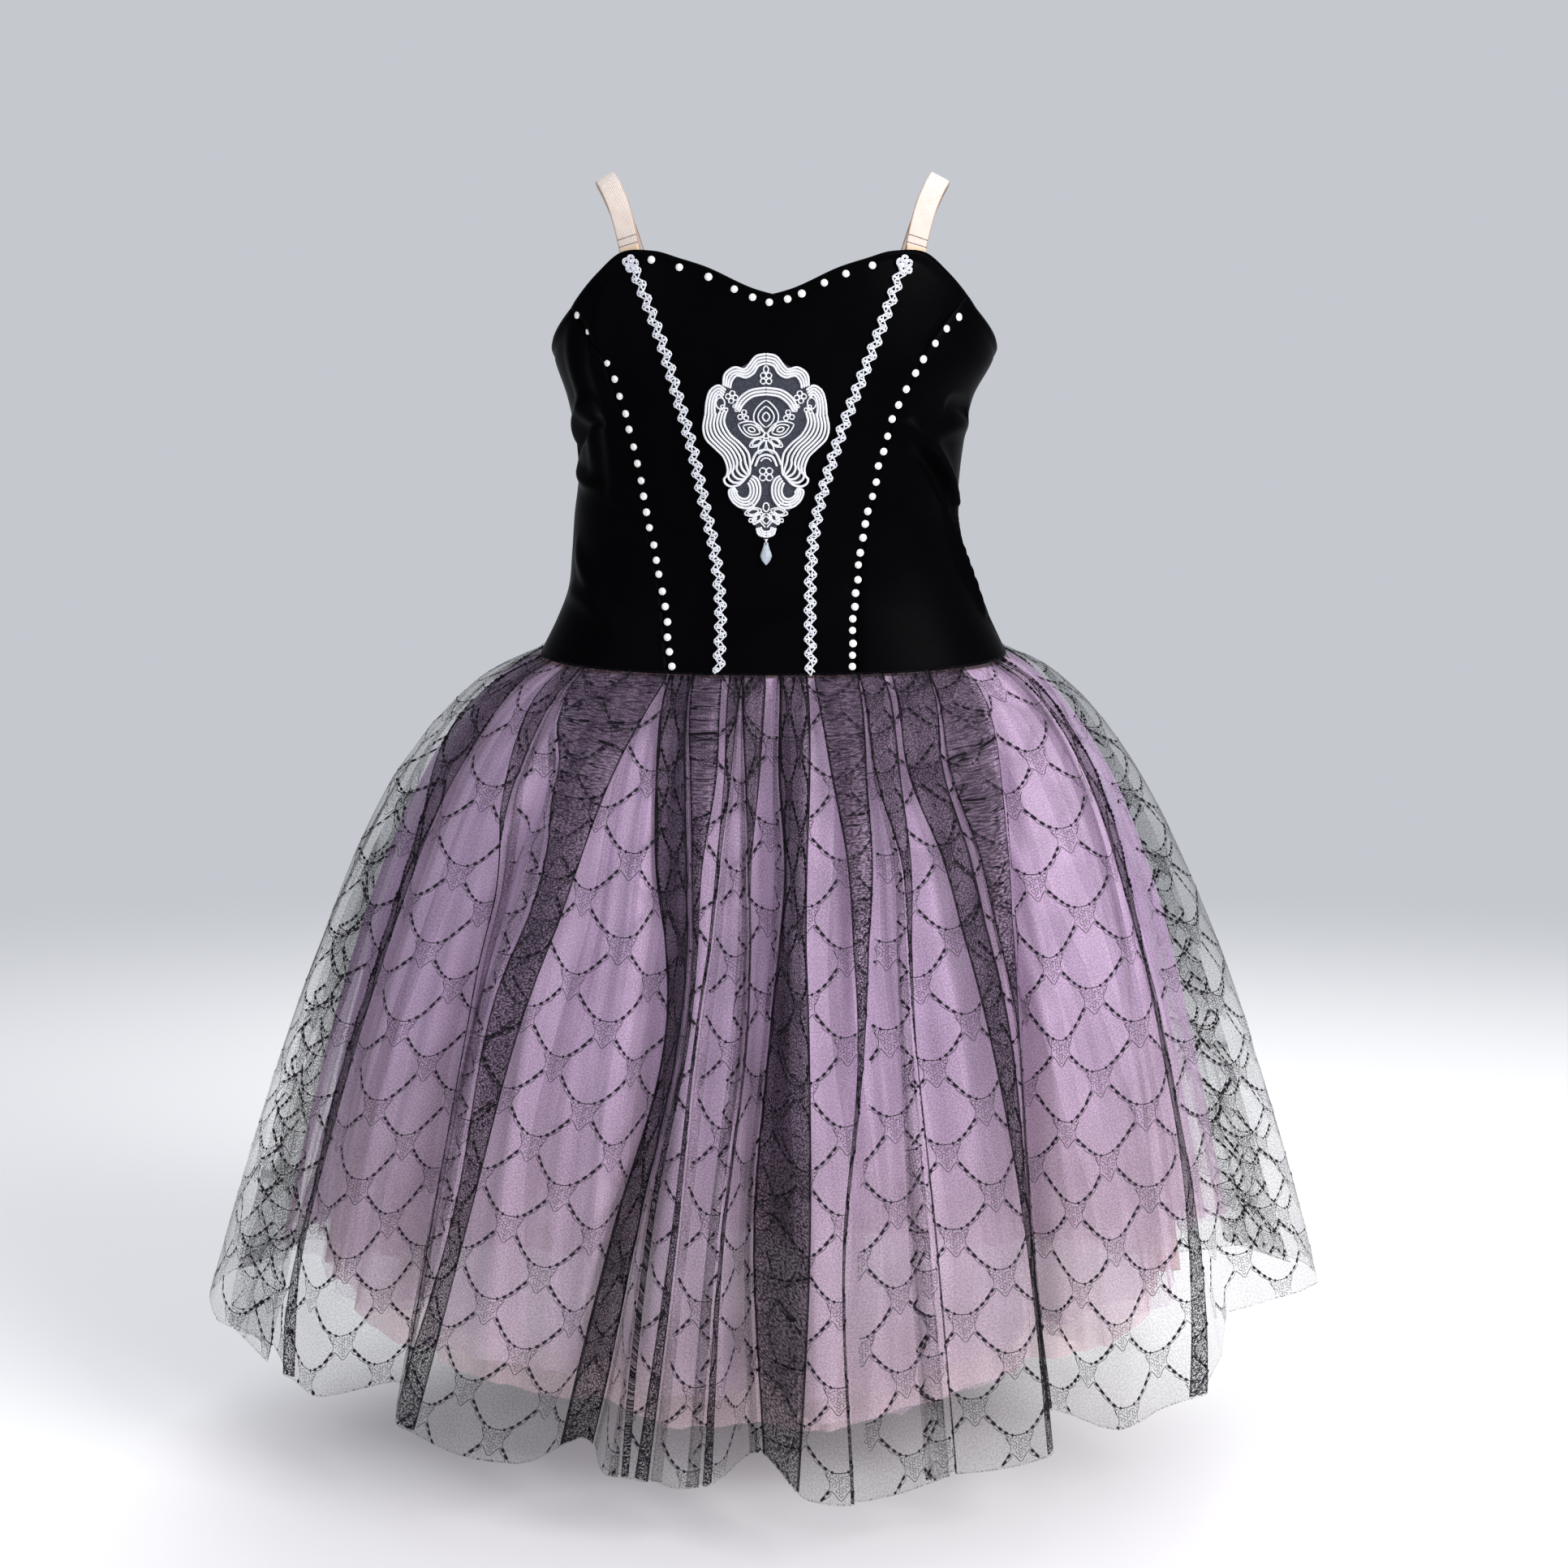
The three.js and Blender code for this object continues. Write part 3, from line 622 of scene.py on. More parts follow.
for side, word in ((-1, "left"), (1, "right")):
    z = np.linspace(BRAID_TOP, BRAID_FOOT, BRAID_STEPS)
    x = side * read(braid_line, "z", word, z)
    run = np.append(0, np.cumsum(np.hypot(np.diff(x), np.diff(z))))
    line = np.stack([x, z], axis=-1)
    along = unit(np.gradient(line, axis=0))
    aside = np.stack([along[:, 1], -along[:, 0]], axis=-1)
    phase = 2 * math.pi * run / WAVE_LENGTH
    waved = line + aside * (WAVE_REACH * np.sin(phase))[:, None]
    waved = waved + along * (WAVE_LEAN * np.sin(2 * phase))[:, None]
    wave_along = unit(np.gradient(waved, axis=0))
    wave_aside = np.stack([wave_along[:, 1], -wave_along[:, 0]], axis=-1)
    cords = []
    for offset in (-CORD_OFFSET, CORD_OFFSET):
        flat_path = waved + wave_aside * offset
        cords.append(on_front(flat_path[:, 0], flat_path[:, 1], LAID_ON + CORD_LIFT + 0 * z))
    swing = CORD_OFFSET * LOOP_OFFSET * np.sin(LOOPS_A_WAVE * phase)
    loops = waved + wave_aside * swing[:, None]
    cords.append(on_front(loops[:, 0], loops[:, 1], LAID_ON + LOOP_LIFT + 0 * z))
    top = line[0]
    for dx, dz, size in ((-2.6, -0.5, 2.2), (2.4, -1.2, 2.1), (0, 1.6, 1.9), (-0.6, -4.2, 2.2),
                         (2.6, -5.4, 1.7)):
        for swell in (1.0, 0.55):
            angle = np.linspace(0, 2 * math.pi, 22)
            loop = top + np.stack([
                dx + size * swell * np.cos(angle), dz + size * swell * np.sin(angle)], axis=-1)
            rise = LAID_ON + KNOT_LIFT + KNOT_WAVE * np.sin(angle * 3)
            cords.append(on_front(loop[:, 0], loop[:, 1], rise))
    braid = tubes(f"gimp_braid_{word}", cords, CORD_RADIUS, gimp)
    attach(braid, "dress")
    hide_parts(f"braid_{word}")

# ---------------------------------------------------------------- rhinestones
# Domed glass stones, 4.5 mm across, glued in rows along the princess seams and under the
# neckline, each set by eye.
STONE_RADIUS = 2.3
STONE_HEIGHT = 1.5
STONE_LIFT = 0.2
STONE_SIDES = 12
STONE_RIM = 1 - 0.12 / math.cos(math.pi / STONE_SIDES)
# Radius and height of a stone's edges, as shares of its own, from its foot to its table
stone_profile = [(1, 0), (1, 0.3), (STONE_RIM, 0.3), (STONE_RIM * 0.82, 0.58), (STONE_RIM * 0.5084, 0.82)]
NECK_STONES_BELOW_EDGE = 5.5
STONES_FROM_SEAM = 2.5
STRAY_ACROSS, STRAY_DOWN = 0.6, 0.7
neck_stones_x = [-73, -56, -38.5, -23, -12, -2, 9, 17.5, 31, 44, 60]
# side, stones, first and last height, first and last step as shares of the mean
seam_stones = [("left", 23, -87.5, -300, 1.05, 0.84), ("right", 26, -87.5, -300, 1.16, 0.74)]

stone_glass = new_material("white_glass_stone")
grain = add_node(stone_glass, "ShaderNodeTexVoronoi", {"Vector": solid_place(stone_glass), "Scale": 700})
principled(
    stone_glass, blended(stone_glass, grain.outputs["Distance"], "#FFFFFF", "#DDDAD6"), 0.12,
    Coat_Weight=0.6, Coat_Roughness=0.05)

angle = np.linspace(0, 2 * math.pi, STONE_SIDES, endpoint=False)
stone_points = np.concatenate([
    np.stack([radius * np.cos(angle), radius * np.sin(angle), height + 0 * angle], axis=-1)
    for radius, height in stone_profile])
stone_faces = []
for start in range(0, len(stone_points) - STONE_SIDES, STONE_SIDES):
    for n in range(STONE_SIDES):
        after = (n + 1) % STONE_SIDES
        stone_faces.append([
            start + n, start + after, start + STONE_SIDES + after, start + STONE_SIDES + n])
stone_faces.append(list(range(STONE_SIDES))[::-1])
stone_faces.append(list(range(len(stone_points) - STONE_SIDES, len(stone_points))))

rng = np.random.default_rng(11)
stone_places = []
for x in neck_stones_x:
    z = read(top_edge, "turn", "z", abs(turn_at(x, -60.0))) - NECK_STONES_BELOW_EDGE
    stone_places.append((x, z))
for side, count, z_first, z_last, first_step, last_step in seam_stones:
    sign = -1 if side == "left" else 1
    seam_z = np.linspace(z_first, z_last, 300)
    seam_x = sign * (read(princess_seam, "z", side, seam_z) - STONES_FROM_SEAM)
    run = np.append(0, np.cumsum(np.hypot(np.diff(seam_x), np.diff(seam_z))))
    steps = np.linspace(first_step, last_step, count - 1)
    at = run[-1] * np.append(0, np.cumsum(steps)) / steps.sum()
    for x, z in zip(np.interp(at, run, seam_x), np.interp(at, run, seam_z)):
        stone_places.append((
            x + rng.uniform(-STRAY_ACROSS, STRAY_ACROSS), z + rng.uniform(-STRAY_DOWN, STRAY_DOWN)))
points, faces = [], []
for x, z in stone_places:
    base = on_front(np.array([x]), np.array([z]), np.array([STONE_LIFT]))[0]
    face_way = unit(base - on_front(np.array([x]), np.array([z]), np.array([STONE_LIFT - 1]))[0])
    across_way = unit(np.cross(np.array([0.0, 0, 1]), face_way))
    up_way = np.cross(face_way, across_way)
    spin = rng.uniform(0, math.pi)
    tilt = rng.uniform(0.95, 1.05)
    spun = stone_points[:, :2] @ np.array([
        [math.cos(spin), math.sin(spin)], [-math.sin(spin), math.cos(spin)]])
    faces += [[index + len(stone_points) * len(points) for index in face] for face in stone_faces]
    points.append(
        base + STONE_RADIUS * tilt * (spun[:, :1] * across_way + spun[:, 1:] * up_way)
        + STONE_HEIGHT * stone_points[:, 2:] * face_way)
mesh = bpy.data.meshes.new("glass_stones")
mesh.from_pydata((np.concatenate(points) / 1000).tolist(), [], faces)
mesh.materials.append(stone_glass)
stones = link_object("glass_stones", mesh)
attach(stones, "dress")

# ---------------------------------------------------------------- lace medallion
# A corded lace motif, white cord couched on a dark fine net, sewn flat on the centre front. A
# thread loop at its foot carries the drop.
MEDALLION_X = -4.0
GROUND_LIFT = 0.9
LACE_LIFT = 1.3
LACE_CORD = 0.46
LACE_BAND_CORD = 0.74
LACE_UNEVEN, CORD_WAVE = 0.25, 0.06
PICOT_Z = -221.5
ground_outline = {
    "z": [-221, -216, -209, -200, -186, -177, -165, -153, -140, -128, -121, -113, -110],
    "half": [1.5, 5, 9, 17, 21, 22.5, 30, 35.5, 34, 28, 22, 9, 3],
}

lace_net = new_material("dark_bobbin_net")
holes = add_node(
    lace_net, "ShaderNodeTexVoronoi", {"Vector": cloth_place(lace_net), "Scale": 900},
    feature="DISTANCE_TO_EDGE")
principled(
    lace_net, "#3E4350", 0.6, Alpha=ranged(lace_net, holes.outputs["Distance"], 0.05, 0.2, 0.8, 0.45))

lace_thread = new_material("white_cotton_cord")
twist = wave(lace_thread, cloth_place(lace_thread), 420, 0.5, "DIAGONAL")
principled(lace_thread, blended(lace_thread, twist, "#C9CFD9", "#FFFFFF"), 0.65, Sheen_Weight=0.2)


def smooth_line(points, samples):
    """A smooth line through points, evenly stepped."""
    points = np.array(points, float)
    run = np.append(0, np.cumsum(np.linalg.norm(np.diff(points, axis=0), axis=-1)))
    at = np.linspace(0, run[-1], samples)
    table = {"run": run, "x": points[:, 0], "z": points[:, 1]}
    return np.stack([read(table, "run", "x", at), read(table, "run", "z", at)], axis=-1)


def band(outer, inner, count, samples=60):
    """Cords side by side that fill the strip between two edges."""
    a = smooth_line(outer, samples)
    b = smooth_line(inner, samples)
    return [lerp(a, b, n / (count - 1)) for n in range(count)]


def arc(x, z, radius, start, end, stretch=1.0, lean=0.0, samples=28):
    """An arc of an ellipse: angles in degrees from +x towards +z, stretched along its lean."""
    angle = np.radians(np.linspace(start, end, samples))
    flat = np.stack([radius * np.cos(angle), radius * stretch * np.sin(angle)], axis=-1)
    c, s = math.cos(math.radians(lean)), math.sin(math.radians(lean))
    return np.array([x, z]) + flat @ np.array([[c, s], [-s, c]])


def flower(x, z, size, petals=4, first=45):
    """A small flower: a ring of looped petals."""
    made = []
    for n in range(petals):
        lean = first + 360 * n / petals
        cx = x + size * 0.62 * math.cos(math.radians(lean))
        cz = z + size * 0.62 * math.sin(math.radians(lean))
        made.append(arc(cx, cz, size * 0.42, 0, 360, 1.0, lean, 14))
    return made


def leaf(x, z, length, width, lean, rounds=2):
    """A pointed leaf of cords, its foot at (x, z)."""
    made = []
    for n in range(rounds):
        share = np.linspace(0, 1, 20)
        size = 1 - 0.36 * n
        side = width / 2 * size * np.sin(math.pi * share) ** 0.8
        along = length * (0.5 + (share - 0.5) * size)
        c, s = math.cos(math.radians(lean)), math.sin(math.radians(lean))
        for sign in (-1, 1):
            made.append(np.stack([x + along * c - sign * side * s, z + along * s + sign * side * c], axis=-1))
    return made


# The right half of the motif, in mm right of its centre line and in height. It is mirrored.
half_bands = []
half_bands += band(
    [(0, -108.6), (6, -110), (10.6, -115.4), (13, -117.6), (19, -116.6), (24.6, -120.6), (25.6, -127.6)],
    [(0, -114), (4.6, -115.6), (7.6, -120), (12, -122.4), (17.6, -121.4), (20.6, -124.6), (21.6, -129)], 4)
half_bands += band(
    [(24, -130), (28.6, -127.4), (33.4, -130.4), (35.6, -137), (36.4, -145)],
    [(26, -135), (28.2, -132.6), (30.2, -135), (31, -140), (30.6, -146)], 4)
half_bands += band(
    [(0, -128.6), (9.4, -130.2), (15.6, -134.6), (19, -141)],
    [(0, -132.4), (8, -133.8), (13.4, -138), (16.4, -143)], 3)
half_bands += band(
    [(36.4, -144.8), (37.7, -153), (36, -159.6), (30.8, -165), (25.6, -170.4), (23.2, -177.4),
     (23.8, -182), (25.4, -184), (24.4, -187), (21, -188.6), (16, -187.2), (11.6, -182.4)],
    [(23.9, -142.6), (25.2, -149.2), (21.8, -156.4), (15.6, -162), (11, -167.6), (9.8, -173),
     (9.6, -177), (9.8, -179), (10, -180.4), (10.4, -181), (10.8, -181.6), (11.2, -182)], 7, 80)
half_bands += band(
    [(8.6, -181.8), (5.4, -184), (3.6, -189.4), (4.6, -196), (9, -201.2), (15.4, -201.4),
     (20.8, -197), (22.4, -191.2), (18.6, -189.4)],
    [(11, -186), (10, -188), (9.4, -191), (10, -194), (11.8, -196), (14.4, -196.2),
     (17, -194.6), (18, -192.4), (17.4, -191.2)], 4)
half_bands += band([(0, -165.6), (5.6, -167.6), (9.2, -175)], [(0, -168.8), (4, -170.4), (6.6, -176)], 2)
half_cords = []
half_cords += leaf(0.6, -157, 17.5, 9.4, 22, 3)
half_cords += leaf(1.2, -158.6, 10.5, 4.6, -32, 2)
half_cords += leaf(0.4, -160, 9.5, 3.6, -64, 1)
half_cords += flower(13.6, -145.4, 3.4, 3, 100)
half_cords += flower(20.6, -134.2, 3.6, 4, 10)
half_cords += flower(25.6, -141.6, 2.6, 3, 70)
half_cords += flower(17.6, -140.4, 2.4, 3, 30)
half_cords += [arc(27.4, -138, 2.6, 0, 360, 1.3)]
half_cords += leaf(2.6, -203, 11, 5, -14, 2)
half_cords += leaf(2.2, -204.6, 8.6, 4.6, -52, 2)
half_cords += leaf(7, -201, 8.5, 4.4, 8, 1)
half_cords += band(
    [(0.4, -205), (3.6, -209.4), (0.4, -214)], [(0.2, -206.8), (2.2, -209.4), (0.2, -212)], 2, 16)
half_bands += band(
    [(5.8, -214.2), (4.4, -218.2), (0, -219.8)], [(3.4, -213.6), (2.4, -216), (0, -216.8)], 3, 20)
half_cords += flower(7.8, -209.6, 2.6, 3, 0)
centre_cords = leaf(0, -156, 20, 15, 90, 3)
centre_cords += flower(0, -123, 3.9, 4, 45)
centre_cords += leaf(0, -120, 4.6, 3, 90, 1)
centre_cords += flower(0, -181, 4.6, 4, 45)
centre_cords += [arc(0, -181, 1.1, 0, 360), arc(0, -157.4, 1.6, 0, 360), arc(0, -201.4, 1.8, 0, 360, 1.5)]
centre_cords += [arc(0, -174.4, 3.4, 20, 160)]

wobble = np.random.default_rng(5)
for name, halves, middles, radius in (
        ("lace_scrolls", half_bands, [], LACE_BAND_CORD),
        ("lace_fillings", half_cords, centre_cords, LACE_CORD)):
    laid = []
    for path in halves + [cord * np.array([-1, 1]) for cord in halves] + middles:
        rise = LACE_LIFT + radius - LACE_CORD + wobble.uniform(0, LACE_UNEVEN)
        laid.append(on_front(
            MEDALLION_X + path[:, 0], path[:, 1], rise + CORD_WAVE * np.sin(np.arange(len(path)))))
    lace = tubes(name, laid, radius, lace_thread)
    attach(lace, "dress")
    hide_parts("lace_medallion")

u, z = np.meshgrid(np.linspace(-1, 1, 50), -np.linspace(110, 221, 80))
ground_x = MEDALLION_X + u * read(ground_outline, "z", "half", z)
ground = sheet("lace_ground", on_front(ground_x, z, GROUND_LIFT + 0 * z), lace_net)
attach(ground, "dress")
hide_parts("lace_medallion")

# ---------------------------------------------------------------- ring and crystal drop
# A wire link through the lace's thread loop, and a faceted pear drop of pale glass on it.
PICOT_RADIUS = 0.9
PICOT_WIRE = 0.3
PICOT_POINTS = 25
ring_low, ring_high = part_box("drop_ring")
ring_x, ring_y = [1000 * (ring_low[axis] + ring_high[axis]) / 2 for axis in (0, 1)]
loop_angle = np.linspace(0, 2 * math.pi, PICOT_POINTS)
loop_path = np.stack([
    ring_x + PICOT_RADIUS * np.cos(loop_angle), ring_y + PICOT_RADIUS * np.sin(loop_angle),
    PICOT_Z + 0 * loop_angle], axis=-1)
loop_path[:, 2] += 1e-3 * np.arange(PICOT_POINTS)
picot = tubes("lace_thread_loop", [loop_path], PICOT_WIRE, lace_thread)
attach(picot, "dress")

plated = new_material("silver_plated_wire")
dull = ranged(plated, noise(plated, solid_place(plated), 900, 3), 0, 1, 0.14, 0.34)
principled(plated, "#DCDEE2", dull, Metallic=1.0)
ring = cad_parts["drop_ring"]
ring.data.materials.clear()
ring.data.materials.append(plated)

cut_glass = new_material("pale_cut_glass")
tint = blended(cut_glass, noise(cut_glass, solid_place(cut_glass), 260, 2), "#F4FAFF", "#BFD3E6")
principled(cut_glass, tint, 0.03, IOR=1.6, Transmission_Weight=0.45, Coat_Weight=0.5)
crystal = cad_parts["crystal_drop"]
crystal.data.materials.clear()
crystal.data.materials.append(cut_glass)

# ---------------------------------------------------------------- skirt form
# Four gathered layers hang from the waist seam. They flare out of the gathers and fall nearly
# straight, with deep troughs between the lobes of the hem.
WAIST_Z = -305
NET_LENGTH = 500.0
STACK_STEP = 1.5
FLARE = 0.26  # mm out for each mm down, where it falls straight
FLARE_AT_GATHERS = 0.72
FLARE_FADES = 4
flare_left, flare_right, flare_front, flare_back = 1.03, 0.98, 0.5, 0.6
WAIST_LEFT, WAIST_RIGHT = body["left"][0], body["right"][0]
WAIST_FRONT, WAIST_BACK = body["front"][0], body["back"][0]
FALL_STEPS = 24
skirt_troughs = [
    (-1, -1.5, 0, 5, 52), (8, 7, 1, 11, -26), (54, 32, 0, 4.5, 50), (60, 42, 0, 12, 14),
    (76, 70, 0, 22, 52), (118, 124, 0, 8, 50), (146, 151, 1, 7, 46), (171, 177, 0, 8, 54),
    (-158, -154, -1, 7, 48), (-128, -126, 0, 8, 54), (-98, -104, 0, 7, 34), (-62, -66, 0, 8, 14),
    (-36, -45, 0, 6, 50), (-19, -20, 5, 4.5, 45),
]  # turn at the waist and at the hem, bow between, half width in degrees, depth in mm


def growth(t):
    return np.maximum(t, 0) ** 0.8


def flare_slope(t):
    return FLARE + FLARE_AT_GATHERS * np.exp(-FLARE_FADES * t)


def flare_reach(t):
    return NET_LENGTH * (
        FLARE * t + FLARE_AT_GATHERS / FLARE_FADES * (1 - np.exp(-FLARE_FADES * t)))


def trough_depth(turn, t):
    depth = 0
    for at_waist, at_hem, bow, width, deep in skirt_troughs:
        centre = at_hem + (at_waist - at_hem) * np.exp(-4 * t) + bow * 4 * t * (1 - t)
        share = np.clip(turn_from(turn, centre) / (width * lerp(0.8, 1, t)), -1, 1)
        depth = depth + deep * (1 + np.cos(math.pi * share)) / 2
    return depth * growth(t)


def skirt_point(turn, t, inset=0.0, follow=1.0, stack=0.0, inwards=0.0):
    """Point of a layer at a turn and a share of the net's length, inwards mm inside its form."""
    sine = np.sin(np.radians(turn))
    cosine = np.cos(np.radians(turn))
    roundness = lerp(BODY_ROUND, 1, np.minimum(3 * t, 1))
    reach = flare_reach(t)
    width = np.where(sine < 0, WAIST_LEFT + reach * flare_left, WAIST_RIGHT + reach * flare_right)
    depth = np.where(cosine > 0, WAIST_FRONT + reach * flare_front, WAIST_BACK + reach * flare_back)
    away = unit(np.stack([sine / width, -cosine / depth, 0 * sine], axis=-1))
    share = np.hypot(sine, cosine * np.where(cosine > 0, flare_front, flare_back))
    slope = share * flare_slope(t)
    below = stack * STACK_STEP
    hang = inset * growth(t) + follow * trough_depth(turn, t) + inwards
    fall = 0
    for n in range(FALL_STEPS):
        step_slope = share * flare_slope((n + 0.5) / FALL_STEPS * t)
        fall = fall + np.sqrt(1 - step_slope ** 2) * t / FALL_STEPS * NET_LENGTH
    plain = np.stack([
        width * power(sine, roundness), -depth * power(cosine, roundness),
        WAIST_Z - SEAM_GAP - fall - below * slope], axis=-1)
    return plain - away * (hang + below * np.sqrt(1 - slope ** 2))[..., None]


# ---------------------------------------------------------------- lilac and pink tulle
# Three gathered layers of soft nylon tulle, lilac over lilac over pink, cut shorter than the
# net so that the net's hem hangs free.
TULLE_COLUMNS = 600
TULLE_ROWS = 62
INSET_LEFT, INSET_RIGHT = 10, 24  # mm more at the sides, where the net stands away
PLEAT_ROOM = 3
# name, node, slot, cut length, inset, follow, stack, colours, cover, pleats, seed, cut width in metres
tulle_layers = [
    ("tulle_inner", "skirt_tulle_inner", "pink_tulle", 485, 58, 0.32, 3,
     "#F6D8DC", "#E8C4CC", 0.86, 46, 3, 1.6),
    ("tulle_middle", "skirt_tulle_middle", "lilac_tulle", 452, 42, 0.5, 2,
     "#E6CDEC", "#CDB0D6", 0.62, 62, 2, 1.75),
    ("tulle_outer", "skirt_tulle_outer", "lilac_tulle", 456, 24, 0.72, 1,
     "#E4C8EC", "#BA9CC8", 0.52, 84, 1, 1.95),
]


def tulle_material(name, light, dark, cover):
    """Nylon tulle: a mesh of fine soft threads, so it is a sheer matt tint, crossed by crisp
    streaks where pleats double it. Towards the hem it is sheerer, and painted paler as light
    coming through it. The mesh is drawn about 1 mm coarse, or it would not show."""
    tulle = new_material(name)
    place = cloth_place(tulle)
    streaks = add_node(tulle, "ShaderNodeMapping", {"Vector": place, "Scale": (60, 3.5, 1)}).outputs[0]
    cloud = noise(tulle, streaks, 1, 2, noise_dimensions="2D")
    mesh_grain = noise(tulle, place, 900, 0, noise_dimensions="2D")
    wander = noise(tulle, place, 4, 0, noise_dimensions="2D")
    along = add_node(tulle, "ShaderNodeSeparateXYZ", {0: place})
    shades = []
    for per_metre, strength in ((42, 2.2), (130, 4.2)):
        steps = maths(tulle, "MULTIPLY", wander, strength)
        where = maths(tulle, "MULTIPLY_ADD", along.outputs["X"], per_metre, steps)
        stripe = add_node(
            tulle, "ShaderNodeTexVoronoi", {"W": where, "Scale": 1}, voronoi_dimensions="1D")
        shades.append(
            add_node(tulle, "ShaderNodeSeparateColor", {0: stripe.outputs["Color"]}).outputs[0])
    fine = maths(tulle, "MULTIPLY_ADD", shades[1], 0.28, -0.2)
    striped = maths(tulle, "MULTIPLY_ADD", shades[0], 0.6, fine)
    shade = blended(tulle, maths(tulle, "ADD", striped, cloud, use_clamp=True), dark, light)
    # Painted light: from 0.2 m down the cloth the colour is mixed towards a pale pink-grey, as light shining
    # through, and the tulle is made sheerer
    below = ranged(tulle, along.outputs["Y"], -0.2, -0.45, 0, 0.55, interpolation_type="SMOOTHSTEP")
    thick = ranged(tulle, striped, 0, 0.6, cover - 0.08, cover + 0.14)
    meshed = maths(tulle, "ADD", thick, ranged(tulle, mesh_grain, 0.35, 0.65, -0.09, 0.09))
    # DCC8D0 is the painted pale of light coming through the tulle near the hem
    return principled(
        tulle, blended(tulle, below, shade, "#DCC8D0"), 0.75, Specular_IOR_Level=0.25,
        Sheen_Weight=0.25, Sheen_Roughness=0.5,
        Alpha=maths(tulle, "MULTIPLY_ADD", below, -0.4, meshed, use_clamp=True))


def pleat_height(turn, t, count, seed):
    """Soft pleats, each rising slowly on one side and dropping sharply on the other."""
    pick = np.random.default_rng(seed)
    height = 0
    for n in range(count):
        at_hem = 360 * (n + pick.uniform(-0.4, 0.4)) / count
        at_waist = at_hem + pick.uniform(-5, 5)
        width = pick.uniform(2.5, 7)
        peak = pick.uniform(2, 9)
        skew = pick.choice([-1, 1])
        begins = pick.uniform(-0.3, 0.3)
        centre = at_hem + (at_waist - at_hem) * np.exp(-3 * t) + pick.uniform(-1, 1) * np.sin(5 * t)
        away = turn_from(turn, centre) * skew / width
        rise = np.clip(1 + away, 0, 1) * (away <= 0) + np.clip(1 - away / 0.22, 0, 1) * (away > 0)
        height = height + peak * rise ** 1.3 * np.clip((t - begins) / 0.25, 0, 1)
    return height


def loop_uv(points):
    """Place on a tube of cloth in metres, with a column more than its points."""
    closed = np.concatenate([points, points[:, :1]], axis=1)
    across = np.linalg.norm(np.diff(closed, axis=1), axis=-1)
    u = np.append(0, np.cumsum(across[-1]))[None, :] + 0 * closed[..., 0]
    down = np.linalg.norm(np.diff(points, axis=0), axis=-1).mean(axis=1)
    v = np.append(0, -np.cumsum(down))[:, None] + 0 * closed[..., 0]
    return np.stack([u, v], axis=-1) / 1000


for name, node, slot, length, inset, follow, stack, light, dark, cover, pleats, seed, width in tulle_layers:
    turn, share = np.meshgrid(
        np.linspace(0, 360, TULLE_COLUMNS, endpoint=False), np.linspace(0, 1, TULLE_ROWS) ** 1.1)
    uneven = 1 + 0.01 * np.sin(np.radians(turn * 3 + 50 * seed))
    uneven = uneven + 0.009 * np.sin(np.radians(turn * 7 + 30 * seed))
    t = share * length / NET_LENGTH * uneven
    pleated = PLEAT_ROOM * growth(t) - pleat_height(turn, t, pleats, seed) * growth(t) ** 0.5
    sine = np.sin(np.radians(turn))
    aside = inset + np.where(sine < 0, INSET_LEFT, INSET_RIGHT) * sine ** 2
    points = skirt_point(turn, t, aside, follow, stack, pleated)
    tulle = sheet(
        name, points, tulle_material(f"{name}_nylon", light, dark, cover), loop_uv(points), wraps=True)
    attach(tulle, "dress")
    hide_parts(node)

# ---------------------------------------------------------------- black net overlay
# One long strip of fine black nylon net, gathered into the waist seam. Its fullness lies in
# folds that are turned back under themselves, wide at the waist and narrow at the hem.
NET_ROWS = 104
FOLD_THICK = 1.3
PUFF = 3.5
stations = [0, 0.12, 0.25, 0.45, 0.7, 1]
